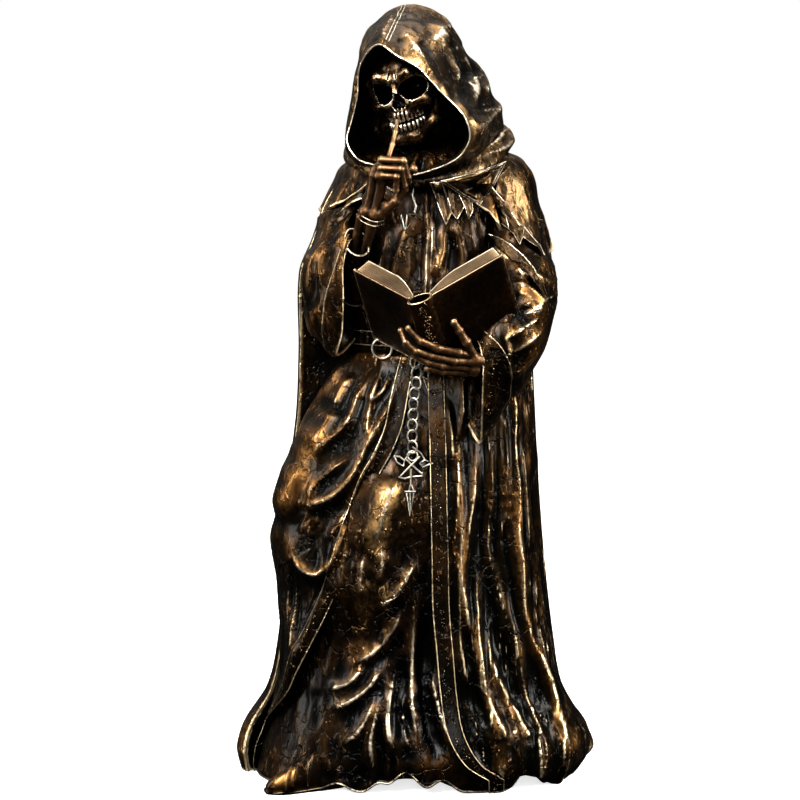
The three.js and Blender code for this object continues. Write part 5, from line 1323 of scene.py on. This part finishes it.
# Hands: chains of bones through drawn points [x, height, depth]
hands = {
    "cell": 0.3, "waist": 0.16, "jointGap": 0.2, "taper": 0.07, "bandWire": 0.24, "bandDrop": 1.6,
    "raised": {
        "box": ((-32, -45, 203), (4, -14, 268)),
        "bones": [
            (2.6, [[-17.8, 229, -29.8], [-15.4, 242.8, -33.6]]),
            (2.5, [[-15.0, 229, -31.0], [-12.6, 241.0, -34.8]]),
            (1.2, [[-13.2, 247.2, -35], [-10.4, 248.6, -35.4], [-8.6, 254.4, -32.6], [-7.5, 259.4, -29.8],
                   [-6.8, 263.8, -26.6]]),
            (1.66, [[-13.0, 248.6, -36], [-4.2, 248.1, -38.4], [-2.4, 241.6, -37]]),
            (1.62, [[-13.2, 245.3, -37], [-5.2, 244.9, -39], [-3.8, 238.4, -37.2]]),
            (1.6, [[-12.6, 242.4, -37.4], [-7.0, 242.0, -39], [-7.2, 236.6, -37.4]]),
            (2.3, [[-13.4, 227.6, -31.4], [-7.2, 232.6, -34], [-4.2, 237.6, -35.6]]),
            (1.25, [[-4.2, 237.6, -35.6], [-0.8, 244.6, -36.4]]),
            (2.1, [[-20.6, 226.4, -28.6], [-24.6, 210, -19]]),
            (2.2, [[-16.4, 224.6, -29.4], [-20.4, 208.4, -20]])],
        "lumps": [([-16.6, 233, -28.6], 3.8), ([-15.2, 237.5, -30], 3.8), ([-19, 228.4, -29.6], 2.7),
                  ([-15.4, 227.4, -31], 2.7), ([-13.4, 246.4, -35], 2.0), ([-15.2, 244.6, -34], 1.9),
                  ([-13.6, 242.4, -36], 2.2), ([-0.4, 245, -36.6], 1.7), ([-9, 243, -33.6], 4.0),
                  ([-11.0, 230.4, -31.4], 2.9)],
        "band": [[-22, 229, -27], [-19.8, 226.2, -31.8], [-15.6, 224.4, -32.8], [-12.2, 224.8, -29]]},
    "book": {
        "box": ((-9, -55, 158), (36, -30, 194)),
        "bones": [
            (1.95, [[22.4, 172.4, -43], [17.4, 173.2, -46], [9, 174.9, -48.6], [2.5, 177.9, -50.6],
                    [-2.4, 183.0, -50.4]]),
            (1.9, [[21.4, 169.9, -43], [15.4, 170.1, -45.8], [6.4, 172.1, -48], [0.6, 174.0, -49.6],
                   [-3.4, 177.4, -49.8], [-5.4, 182.1, -48.8]]),
            (1.8, [[20.6, 167.6, -42], [11, 168.2, -45.4], [5.1, 169.6, -47], [0.2, 172.2, -48],
                   [-3.6, 176.8, -47.2]]),
            (1.6, [[20, 165.6, -41], [11, 166.0, -43.8], [5, 167.2, -45.4]]),
            (2.05, [[23.4, 171.4, -42.6], [20.2, 177.6, -46.6], [17.4, 182.0, -48.2], [15.2, 185.4, -49.4]])],
        "lumps": [([23.2, 170.4, -42], 3.0), ([23.4, 167.0, -41], 3.0), ([25.4, 170.2, -41], 3.0),
                  ([29, 168, -37], 3.0)],
        "band": None},
}


def makeHand(name, plan):
    bones = []
    for radius, points in plan["bones"]:
        places = [seen(*p) for p in points]
        for k in range(len(places) - 1):
            a, b = places[k], places[k + 1]
            step = unit(b - a) * hands["jointGap"]
            ra, rb = (radius * (1 - hands["taper"] * joint) for joint in (k, k + 1))
            bones.append((a + step, b - step, ra, rb))
    balls = [(seen(*p), r) for p, r in plan["lumps"]]

    def field(x, y, z):
        f = np.full(x.shape, 9.0)
        for a, b, ra, rb in bones:
            f = softMin(f, rod(x, y, z, a, b, ra, rb, hands["waist"]), 0.28)
        for at, r in balls:
            f = softMin(f, np.sqrt((x - at[0]) ** 2 + (y - at[1]) ** 2 + (z - at[2]) ** 2) - r, 0.9)
        return f
    parts = [surfaceNet(field, *plan["box"], hands["cell"])]
    if plan["band"]:                                     # two wires round the wrist
        path = curve([seen(*p) for p in plan["band"]], 24)
        for number in (0, 1):
            drop = hands["bandDrop"] * number
            parts.append(edgeBand(name, handBronze, hands["bandWire"] * (1 - 0.2 * number),
                                  [path + (-0.35 * drop, 0.1 * drop, -drop)], 10))
    addPiece(name, together(parts), handBronze, fine=5, broad=40, angle=180, polish=False, lift=0.8)


makeHand("raised_hand", hands["raised"])
makeHand("book_hand", hands["book"])
print("stage: bones")

# Open book held from below: each half is a board with a block of leaves on the reader's side
book = {
    "hingeRight": (6.4, 195.4, -59), "hingeLeft": (-2.5, 194.2, -59), "rightTop": (34.5, 211.4, -53),
    "leftTop": (-24, 205.5, -42), "down": (7.8, -26.5, 18), "leaves": 6.2, "board": 1.4, "margin": 0.7,
    "rounding": 0.35, "ruffle": 0.07, "leafWaves": 46, "boardCells": (40, 40, 6), "leafCells": (56, 40, 49),
    "spineTop": (2, 194.4, -58), "spineRadius": 4.7, "spineWall": 1.0, "ribs": (0.16, 0.38, 0.62, 0.84),
    "marks": 40, "markWidth": 0.26, "markLength": (1.0, 2.6), "bead": 0.17, "foreBead": 0.1,
}


# closed box through a mapping of (u, v, w), each 0 to 1
def boxGrid(place, counts):
    verts, quads, base = [], [], 0
    for axis, end in ((0, 0), (0, 1), (1, 0), (1, 1), (2, 0), (2, 1)):
        n = [c for k, c in enumerate(counts) if k != axis]
        uvw = list(np.meshgrid(np.linspace(0, 1, n[0]), np.linspace(0, 1, n[1]), indexing="ij"))
        uvw.insert(axis, np.full(n, float(end)))
        verts.append(place(*uvw).reshape(-1, 3))
        f = gridFaces(*n) + base
        quads.append(f if (end == 1) != (axis == 1) else f[:, ::-1])
        base += n[0] * n[1]
    verts = np.vstack(verts)
    _, first, back = np.unique(np.round(verts, 4), axis=0, return_index=True, return_inverse=True)
    return verts[first], back.ravel()[np.vstack(quads)], noTriangles


# one half of the book: its board, its leaves, the rim at the head, the fore edge and the top leaf's line
def bookHalf(hinge, top):
    hinge, top, down = (np.array(v, float) for v in (hinge, top, book["down"]))
    c = [seen(*q) for q in (hinge, top, top + down, hinge + down)]
    across, along = c[1] - c[0], c[3] - c[0]
    out = unit(np.cross(across, along))
    out = out if out[1] > 0 else -out
    wide, tall, inset = np.linalg.norm(across), np.linalg.norm(along), book["margin"]

    def board(u, v, w):
        toEdge = np.minimum(np.minimum(u * wide, (1 - u) * wide), np.minimum(v, 1 - v) * tall)
        rounding = book["rounding"] * (1 - np.clip(toEdge / 0.5, 0, 1)) ** 2
        level = mix(rounding, book["board"] - rounding, w)
        return c[0] + across * u[..., None] + along * v[..., None] + out * level[..., None]

    def block(u, v, w):
        dip = book["leaves"] * 0.8 * np.maximum(0, 1 - u * 2.2) ** 1.5
        ruffle = book["ruffle"] * np.sin(w * book["leafWaves"]) * ((v < 0.01) | (v > 0.99) | (u > 0.99))
        vv = mix(inset / tall, 1 - inset / tall, v) + np.where(v < 0.5, ruffle, -ruffle) / tall
        level = mix(book["board"] * 0.6, book["board"] + book["leaves"] - dip, w)
        base = c[0] + across * (u * (1 - inset / wide))[..., None] + along * vv[..., None]
        return base + out * level[..., None]

    run = np.linspace(0.02, 1, 40)
    rim = np.array([mix(c[0], c[1], k) for k in np.linspace(0.02, 1, 20)]) + out * 0.2
    fore = np.array([mix(c[1], c[2], k) for k in np.linspace(0, 1, 20)]
                    + [mix(c[2], c[3], k) for k in np.linspace(0, 0.98, 20)]) + out * 0.2
    return (boxGrid(board, book["boardCells"]), boxGrid(block, book["leafCells"]), rim, fore,
            block(run, run * 0, run * 0 + 1))


# rounded spine with ribs, its shallow marks and its open end
def bookSpine():
    top = np.array(book["spineTop"], float)
    a, b = seen(*top), seen(*(top + np.array(book["down"]) * 0.98))
    along = unit(b - a)
    side = unit(np.cross(along, (0, -1, 0.3)))
    front = np.cross(side, along)
    turn = np.linspace(0, 2 * math.pi, 49)[:-1]
    ring = side * np.cos(turn)[:, None] + front * (np.sin(turn) * 0.5)[:, None]
    r, wall, length = book["spineRadius"], book["spineWall"], np.linalg.norm(b - a)
    # the hollow end: place along the axis, radius
    ends = ((5, 0.3), (4, r - wall), (0.5, r - wall), (0.1, r - wall * 0.8), (-0.15, r - wall * 0.5),
            (0.1, r - 0.15))
    rows = [a + along * place + ring * radius for place, radius in ends]
    for s in np.linspace(0.02, 0.995, 110):
        ribs = sum(0.12 * math.exp(-((s - k) * length / 0.7) ** 2) for k in book["ribs"])
        rows.append(a + along * length * s + ring * (r + ribs))
    rows.append(b + ring * (r - 0.5))
    arc = [side * math.cos(t) + front * math.sin(t) * 0.5 for t in np.linspace(2.2, 0.95, 12)]
    band = np.array([[a + along * length * s + q * r for q in arc] for s in np.linspace(0.05, 0.95, 60)])
    marks = strokes("book_spine", coverBronze, band[:, ::-1], book["marks"], 8, book["markWidth"],
                    book["markLength"], 0.0)
    return closedLoft(np.array(rows)), marks, looped(a + along * 0.1 + ring * r)


def makeBook():
    halves = [bookHalf(book["hingeRight"], book["rightTop"]), bookHalf(book["hingeLeft"], book["leftTop"])]
    boards, blocks, rims, fore, tops = (list(row) for row in zip(*halves))
    spine, marks, lip = bookSpine()
    beads = [edgeBand("book_cover_edge", coverBronze, book["bead"], rims + [lip]),
             edgeBand("book_fore_edge", coverBronze, book["foreBead"], fore)]
    addPiece("book_covers", together(boards + [spine, marks]), coverBronze, beads, rub=0.3, polish=False)
    lines = edgeBand("leaf_edge", leafBronze, book["bead"], tops)
    addPiece("book_leaves", together(blocks), leafBronze, [lines], angle=30, rub=0.4, polish=False)


makeBook()
print("stage: book")


# Depth of the front of the gown or chest under a drawn point
def frontDepth(x, h):
    y = -30.0
    for _ in range(8):
        px, _, z = seen(x, h, y)
        left, right = float(bodySides[0](z)), float(bodySides[1](z))
        share = min(abs(px - (left + right) / 2) / ((right - left) / 2), 0.98)
        depth = robe["axisY"] - float(bodyFront(z))
        y = robe["axisY"] - depth * (1 - share ** robe["power"]) ** (1 / robe["power"])
        y += robe["layer"] if z < robe["beltHeight"] else 0
    return y


gownLines = foldLines(robe["gownFolds"])


# drawn points laid on the gown, standing proud of its folds
def onGown(points, proud):
    places = []
    for x, h in points:
        p = seen(x, h, frontDepth(x, h))
        rise = float(foldRelief(gownLines, p[None])[0])
        places.append(seen(x, h, p[1] - max(rise, 0) - proud))
    return np.array(places)


chain = {
    "links": 9, "linkRadius": 2.15, "wire": 0.34, "ringWire": 0.42, "turn": 0.5,
    "path": [(0.2, 169.6), (0.9, 163), (-0.2, 156), (-0.5, 149), (-0.9, 142), (-0.8, 136.6)],
    "wires": [
        [(-8, 133.1), (-5.8, 132.8), (-3.9, 131.3), (-4.3, 129.1), (-6.9, 130.5), (-8, 133.1)],
        [(-3.9, 131.3), (-2.4, 133.4), (-0.8, 135)],
        [(5.8, 129.8), (3.2, 128.7), (2, 130.2), (3.9, 131.6), (7.2, 130.2), (5.8, 129.8)],
        [(3.9, 131.6), (2.6, 134), (0.6, 135.6), (-0.8, 136.6)],
        [(2, 132.8), (-5.4, 125.3)], [(-3.2, 131.6), (3.2, 125.7)],
        [(-6.2, 124.9), (-3.9, 124.2), (-1.4, 125), (3.2, 125.3), (3, 126.8)],
        [(-1.4, 128), (-1.4, 122), (-2.2, 119.4)], [(-1.4, 122), (-0.4, 119.4)],
        [(-3.9, 119.2), (0.5, 119.2)], [(-3.2, 118.6), (-1.8, 109.6), (-0.3, 118.6)],
        [(-1.8, 118.6), (-1.8, 110.4)]],
    "ring": (-0.8, 133.1, 1.9), "beltRing": (-12.7, 175, 3.9),
    "neckCord": [(0, 239.1), (-0.7, 234.8), (0.6, 230.4), (0, 228)],
    "neckPoint": [(-2.9, 227.2), (1.2, 227.4), (-3.5, 221.2), (-2.9, 227.2)],
    "neckInner": [(-5.3, 227), (-3.9, 221.4)],
}


def circle(x, h, radius, count=28):
    return [(x + radius * math.cos(k / count * 2 * math.pi), h + radius * math.sin(k / count * 2 * math.pi))
            for k in range(count + 1)]


# drawn points on one plane in front of the gown
def level(points, proud):
    laid = onGown(points, proud)
    return np.array([seen(x, h, laid[:, 1].min()) for x, h in points])


def makeChain():
    path = onGown([tuple(p[:2]) for p in curve([(x, h, 0) for x, h in chain["path"]], 40)], 3.2)
    links = growPath("chain", pathCurve("chain", [path]), linkTree, {
        "Links": chain["links"], "Link radius": chain["linkRadius"] * 0.001,
        "Wire radius": chain["wire"] * 0.001,
        "Turn": chain["turn"], "Finish": chainBronze})
    wires = [level(w, 1.4) for w in chain["wires"]] + [level(circle(*chain["ring"]), 1.8)]
    wires += [onGown(chain["neckCord"], 0.9), level(chain["neckPoint"], 0.8), level(chain["neckInner"], 0.8)]
    beltRing = edgeBand("belt_ring", chainBronze, chain["ringWire"], [level(circle(*chain["beltRing"]), 1.4)],
                        10)
    parts = together([links, edgeBand("pendants", chainBronze, chain["wire"], wires, 8), beltRing])
    addPiece("chain_and_pendants", parts, chainBronze, rub=0.26, fine=2, broad=8, polish=False, rubbedFrom=0)


makeChain()
print("stage: chain")

# Cowl, collar, belt and the cuff under the raised sleeve
drape = {
    "roll": [[-16, 244, -18, 2.5], [-4, 240.4, -22, 2.2], [8, 240.6, -24, 2.2], [20, 244.4, -23, 2.8],
             [28.4, 249.6, -13, 3.6], [33.0, 256, 3, 4.4], [24, 260, 20, 7], [2, 261, 25, 7],
             [-16, 257, 18, 6.2], [-23.5, 250, 2, 4.0]],
    "rollFolds": [
        (1.6, 1.0, 1.0, [(32, 266), (37.6, 259.4), (36.5, 254.7), (21.3, 247.7)]),
        (1.6, 1.0, 1.0, [(35.6, 262), (33, 256), (26, 251), (16, 245)]),
        (1.5, 1.0, 1.0, [(37.4, 254), (31, 248), (22, 243.6), (10, 240)]),
        (1.3, 0.9, 1.0, [(30, 266), (29.5, 258), (24, 252)]),
        (1.0, 0.9, 1.0, [(-18, 246), (-10, 242), (-2, 239.6)])],
    "flap": [[10.5, 240.2], [24, 243.6], [35.7, 247.9], [31.4, 239.4], [26.1, 230.5], [18.6, 234.6]],
    "flapFolds": [
        (1.1, 0.8, 1.0, [(12, 239.6), (20, 238), (29, 241.8)]),
        (0.9, 0.8, 1.0, [(13, 239), (21, 235.6), (25.6, 233)]),
        (0.8, 0.7, 1.0, [(31, 244), (28.4, 238), (25.6, 233.6)])],
    "strips": [
        [[6.2, 239.6], [10.6, 239.8], [13.2, 231], [14.6, 228.2], [12.3, 223.4], [9.6, 230]],
        [[10.6, 239.8], [17, 236], [19.6, 230.6], [16.6, 225.4], [14.6, 228], [13.6, 232]],
        [[17, 236], [22, 234], [22.8, 229], [21.2, 225.4], [19.8, 230]],
        [[30, 238], [36, 231], [41.2, 222.6], [37.8, 224.8], [33.6, 229.4], [29.6, 234]]],
    "tiers": [
        [[31.8, 234.4], [33.3, 231.7], [35.7, 226.6], [42.7, 222.7], [49.4, 214.6], [48.5, 225], [43.5, 240],
         [37, 246], [32.5, 241.5]],
        [[29.5, 230], [32.2, 233.2], [35.7, 226.6], [36.9, 221.5], [33.3, 224.3], [30.6, 227]],
        [[35.7, 226.6], [42.7, 222.3], [42.3, 218.8], [41.1, 215.7], [38.8, 219.6], [36.9, 221.5]],
        [[42.7, 222.3], [49.2, 214.8], [50.8, 211.4], [49, 214.1], [44.3, 217.2], [42.3, 218.8]],
        [[28.7, 219.6], [33.3, 218], [37.2, 215.7], [42.7, 211], [46.6, 206.3], [49.3, 201.2], [50.9, 195.4],
         [47.4, 201.2], [43.5, 205.1], [37.2, 209.8], [32.2, 214.9]]],
    "knot": [[5.4, 240.2, 1.7], [8.6, 241.6, 2.2], [12, 241.4, 1.7]],
    "belt": {"low": 170.2, "high": 175.4, "proud": 1.0, "bead": 0.2},
    "sash": [(3.3, 164), (8, 161), (9.8, 156), (9.9, 150.2), (6, 151.7), (5.4, 158)],
    "cuff": [[-17.8, 213.6, -25.5], [-20.6, 220.4, -25.5], [-25.6, 221.4, -24], [-27.2, 217.4, -24.5],
             [-25.6, 213.2, -26.5], [-22.4, 211.2, -27.5], [-19.4, 211.4, -27]],
    "cuffFoot": [-24.5, 197, -14], "cuffBead": 0.22, "edgeBead": 0.16,
}


# rings about a path; on a closed one the last ring meets the first
def tubeAlong(path, radii, count, closed=False):
    if closed:
        along = np.roll(path, -1, axis=0) - np.roll(path, 1, axis=0)
    else:
        along = np.vstack([path[1:], path[-1:]]) - np.vstack([path[:1], path[:-1]])
    along /= np.linalg.norm(along, axis=1)[:, None]
    side = np.cross((0, 0.2, 1.0), along)
    side /= np.linalg.norm(side, axis=1)[:, None]
    up = np.cross(along, side)
    t = np.arange(count) / count * 2 * math.pi
    return (path[:, None] + side[:, None] * (np.cos(t)[None, :] * radii[:, None])[..., None]
            + up[:, None] * (np.sin(t)[None, :] * radii[:, None])[..., None])


def makeCowl():
    roll = np.array(drape["roll"], float)
    path = curve([seen(*p[:3]) for p in roll], 220, True)
    radii = curve([[i, p[3], 0] for i, p in enumerate(roll)], 220, True)[:, 1]
    p = looped(tubeAlong(path, radii, 44, True))
    n = tubeNormals(p, 30)
    relief = foldRelief(foldLines(drape["rollFolds"]), p) * smooth(0.4, -0.1, n[..., 1]) + worked(p, 4.0, 0.9)
    p = (p + n * relief[..., None])[:-1]
    rows, cols = p.shape[:2]
    faces = gridFaces(rows + 1, cols, True) % (rows * cols)
    addPiece("cowl", (p.reshape(-1, 3), faces, noTriangles), hoodBronze, crests=drape["rollFolds"])


# pointed cloth flap through a drawn rim, closed at the back; returns the body and its two edge lines
def makeFlap(points, thick, proud, folds):
    corners = np.array(points, float)
    steps = np.arange(20)[:, None] / 20
    rim = np.vstack([mix(a, b, steps) for a, b in zip(corners, np.roll(corners, -1, axis=0))])
    under = ("gown", "capelet_upper", "cowl", "book_sleeve")
    middle = rim.mean(axis=0)
    coarse = np.array([1.0, 0.75, 0.5, 0.25, 0.02])
    depth = np.array([[frontOf(under, *mix(middle, q, share)) for q in rim[::5]] for share in coarse])
    depth = np.mean([np.roll(depth, k, axis=1) for k in (-1, 0, 1)], axis=0)
    every, fifth = np.arange(len(rim)), np.arange(0, len(rim), 5)
    depth = np.array([np.interp(every, fifth, row, period=len(rim)) for row in depth])

    def layer(share, out):
        xh = mix(middle, rim, share)
        y = [np.interp(share, coarse[::-1], column[::-1]) for column in depth.T]
        return seen(xh[:, 0], xh[:, 1], np.array(y) - out)

    shares = np.linspace(1.0, 0.04, 34)
    front = np.array([layer(share, proud + thick * (1 - 0.6 * share ** 8)) for share in shares])
    back = np.array([layer(share, proud - 0.6) for share in np.linspace(0.05, 1.0, 8)])
    inward = smooth(1.0, 0.85, shares)[:, None]
    relief = foldRelief(foldLines(folds), front) + worked(front, 9.0, 0.6) * inward
    front = front - np.array([0, 1.0, 0]) * relief[..., None]
    return closedLoft(np.concatenate([back, front])), [looped(front[0]), looped(front[4])]


def makeCollar():
    parts, edges = [], []
    for strip in drape["strips"]:
        middle = tuple(np.mean(strip[:2], axis=0))
        body, lines = makeFlap(strip, 0.8, 1.0, [(0.9, 0.8, 1.0, [middle, tuple(strip[-2])])])
        parts.append(body)
        edges.append(lines[0])
    body, lines = makeFlap(drape["flap"], 1.4, 1.6, drape["flapFolds"])
    parts.append(body)
    edges += [lines[0], lines[1][20:]]
    for number, tier in enumerate(drape["tiers"]):
        crease = [(0.9, 0.8, 1.0, [tuple(tier[0]), tuple(np.mean(tier, axis=0)), tuple(tier[3])])]
        body, lines = makeFlap(tier, 1.0, 0.6, crease if number else [])
        parts.append(body)
        edges.append(lines[0][:20 * (5 if number else 4)])
    knot = np.array(drape["knot"])
    path = curve([seen(x, h, frontOf(("gown", "capelet_upper"), x, h) - 1.5) for x, h, _ in knot], 24)
    radii = curve([[i, r, 0] for i, r in enumerate(knot[:, 2])], 24)[:, 1]
    taper = np.sin(np.linspace(0.25, math.pi - 0.25, 24)) ** 0.5
    parts.append(closedLoft(tubeAlong(path, radii * taper, 24)))
    beads = edgeBand("collar_edge", hoodBronze, drape["edgeBead"], edges)
    addPiece("collar", together(parts), hoodBronze, [beads], lift=0.35)


def makeBelt():
    low, high = drape["belt"]["low"], drape["belt"]["high"]
    a, z = np.meshgrid(np.radians(np.linspace(-178, -2, 190)), np.linspace(low, high, 14))
    p = bodyPoint(a, z, drape["belt"]["proud"])
    p = embossed(p, 0.25 * np.cos(a * 60) * smooth(0, 1, np.minimum(z - low, high - z)))
    sash, lines = makeFlap(drape["sash"], 0.8, 1.0, [(0.6, 0.8, 1.0, [drape["sash"][0], drape["sash"][2]])])
    beads = [edgeBand("belt_edge", gownBronze, drape["belt"]["bead"], [p[0], p[-1]]),
             edgeBand("sash_edge", gownBronze, drape["edgeBead"], lines[:1])]
    addPiece("belt", together([closeEnds(p, 2.4, [(2, 0, 172)]), sash]), gownBronze, beads)


def makeCuff():
    rim = curve([seen(*q) for q in drape["cuff"]], 72, True)
    middle = rim.mean(axis=0)
    down = seen(*drape["cuffFoot"]) - middle
    # share of the rim and of the way down, first inside the cuff and then outside
    steps = [(0.3, 0.5), (0.84, 0.3), (0.9, 0.0), (0.96, -0.02)]
    steps += [(1 + 0.25 * t, t) for t in np.linspace(0, 1, 26)]
    p = np.array([mix(middle, rim, share) + down * way for share, way in steps])
    n = gridNormals(p, True)
    p[5:] += n[5:] * (0.5 * lumps(p[5:, :, 0], p[5:, :, 1], p[5:, :, 2] * 0.4, 4.0, 9.0))[..., None]
    bead = edgeBand("cuff_edge", gownBronze, drape["cuffBead"], [looped(p[4])])
    addPiece("raised_cuff", closedLoft(p), gownBronze, [bead])


makeCowl()
makeCollar()
makeBelt()
makeCuff()
print("stage: cowl and collar")

# Shoe, and the banded end of the gown over the ankle
shoe = {
    # middle, half width and height of each section, from the toe to the ankle
    "sections": [[[-57.9, 2.6, -37], 0.7, 1.0], [[-56.4, 4.2, -38.6], 3.2, 3.2],
                 [[-52.5, 6.3, -39], 5.0, 5.0], [[-47, 8.6, -38], 5.9, 6.6], [[-41, 10.4, -35], 6.2, 8.4],
                 [[-33, 12, -31], 6.0, 10.0], [[-26, 12, -27], 5.2, 10]],
    "straps": (0.5, 0.58, 0.72), "strapRise": 0.45, "soleRise": 0.5, "soleHeight": 1.3,
}


def makeShoe():
    s = shoe["sections"]
    t = np.linspace(0, 1, 90)
    at = curve([p[0] for p in s], 90)
    wide = curve([[i, p[1], p[2]] for i, p in enumerate(s)], 90)
    k = np.arange(64) / 64 * 2 * math.pi
    place = seen(at[:, 0], at[:, 1], at[:, 2])
    x = place[:, :1] + 0.5 * wide[:, 1:2] * np.cos(k)
    y = place[:, 1:2] + 0.95 * wide[:, 1:2] * np.cos(k)
    z = wide[:, 2:3] * (0.62 + np.sin(k))
    p = np.stack([x, y, np.maximum(z, 0)], axis=-1)
    straps = sum(shoe["strapRise"] * np.exp(-((t - c) / 0.012) ** 2) for c in shoe["straps"])
    sole = shoe["soleRise"] * np.exp(-((z - shoe["soleHeight"]) / 0.5) ** 2)
    p = p + tubeNormals(p, 40) * (straps[:, None] * (np.sin(k) > -0.3) + sole)[..., None]
    p[..., 2] = np.maximum(p[..., 2], 0)
    addPiece("shoe", closedLoft(p), coatBronze)


makeShoe()
print("stage: shoe")


# Floor, lights and camera
studio = {
    "backdrop": "#ffffff", "floorSize": 6.0, "floorGlow": 0.75, "paperRoughness": 0.9, "sensor": 36.0,
    "room": (1.0, 0.95, 0.88, 1.0), "roomStrength": 0.035, "aim": (0, 0, 0.15),
    # name, place in m, size in m, watts, colour
    "softboxes": [
        ("key_softbox", (-0.45, -0.95, 0.95), (0.3, 0.9), 44, (1.0, 0.98, 0.95)),
        ("front_card", (0.12, -1.3, 0.5), (0.3, 0.3), 5, (1.0, 0.97, 0.93)),
        ("right_strip", (0.95, -0.35, 0.55), (0.12, 0.9), 22, (1.0, 0.97, 0.92)),
        ("left_strip", (-1.0, -0.1, 0.45), (0.12, 0.9), 9, (1.0, 0.97, 0.92)),
        ("top_softbox", (0.1, 0.25, 1.3), (0.9, 0.7), 12, (1.0, 0.93, 0.85))],
    "silk": {"strength": 0.7, "spread": 120, "tilt": (-18, -14, 0), "colour": (1.0, 0.92, 0.82)},
}


# the photograph's own view, with its centre beside the figure's axis
def makeCamera():
    data = bpy.data.cameras.new("camera")
    camera = addObject("camera", data)
    x, y = frameShift[:2] * 0.001
    distance, half = figure["distance"] * 0.001, figure["photoSize"] / 2
    camera.location = (x, y - distance * cosTilt, figure["aimHeight"] * 0.001 + distance * sinTilt)
    camera.rotation_euler = (math.radians(90 - figure["tiltDegrees"]), 0, 0)
    data.sensor_width = studio["sensor"]
    data.lens = studio["sensor"] * figure["distance"] / figure["frameWidth"]
    data.shift_x = (half - figure["axisPixel"]) / figure["photoSize"]
    data.shift_y = (figure["aimPixel"] - half) / figure["photoSize"]
    data.clip_start = 0.01
    bpy.context.scene.camera = camera


# white paper that looks evenly lit, and dark to the bronze, so that the folds keep their depth
def makeFloor():
    mesh = bpy.data.meshes.new("floor")
    half = studio["floorSize"] / 2
    mesh.from_pydata([(-half, -half, 0), (half, -half, 0), (half, half, 0), (-half, half, 0)], [],
                     [(0, 1, 2, 3)])
    floor = addObject("floor", mesh)
    paper = bpy.data.materials.new("backdrop_paper")
    paper.use_nodes = True
    tree = paper.node_tree
    tree.nodes.clear()
    rays = node(tree, "ShaderNodeLightPath").outputs
    glow = node(tree, "ShaderNodeMath", {"operation": "MULTIPLY"},
                {0: rays["Is Camera Ray"], 1: studio["floorGlow"]})
    white = linear(studio["backdrop"])
    lit = node(tree, "ShaderNodeBsdfPrincipled", None,
               {"Base Color": white, "Roughness": studio["paperRoughness"], "Emission Color": white,
                "Emission Strength": glow.outputs[0]})
    dark = node(tree, "ShaderNodeBsdfDiffuse", None, {"Color": (0.01, 0.01, 0.01, 1.0)})
    both = node(tree, "ShaderNodeMixShader", None,
                {0: rays["Is Glossy Ray"], 1: lit.outputs[0], 2: dark.outputs[0]})
    node(tree, "ShaderNodeOutputMaterial", None, {"Surface": both.outputs[0]})
    mesh.materials.append(paper)


# white behind the figure, and a dim warm room all round it
def makeRoom():
    world = bpy.data.worlds.new("studio")
    bpy.context.scene.world = world
    world.use_nodes = True
    tree = world.node_tree
    tree.nodes.clear()
    ray = node(tree, "ShaderNodeLightPath").outputs["Is Camera Ray"]
    pale = node(tree, "ShaderNodeBackground", None, {"Color": linear(studio["backdrop"]), "Strength": 1.0})
    dim = node(tree, "ShaderNodeBackground", None,
               {"Color": studio["room"], "Strength": studio["roomStrength"]})
    both = node(tree, "ShaderNodeMixShader", None, {0: ray, 1: dim.outputs[0], 2: pale.outputs[0]})
    node(tree, "ShaderNodeOutputWorld", None, {"Surface": both.outputs[0]})


def makeLights():
    silk = studio["silk"]
    sun = bpy.data.lights.new("overhead_silk", "SUN")
    sun.energy, sun.color = silk["strength"], silk["colour"]
    sun.angle = math.radians(silk["spread"])
    addObject("overhead_silk", sun).rotation_euler = [math.radians(v) for v in silk["tilt"]]
    for name, place, size, power, colour in studio["softboxes"]:
        light = bpy.data.lights.new(name, "AREA")
        light.shape = "RECTANGLE"
        light.size, light.size_y = size
        light.energy, light.color = power, colour
        lamp = addObject(name, light)
        lamp.location = place
        x, y, z = np.array(studio["aim"]) - np.array(place)
        lamp.rotation_euler = (math.atan2(math.hypot(x, y), -z), 0, math.atan2(y, x) - math.pi / 2)


makeCamera()
makeFloor()
makeRoom()
makeLights()
bpy.context.scene.view_settings.view_transform = "Standard"
print("stage: studio;", sum(pieces.values()), "triangles in", len(pieces), "pieces")
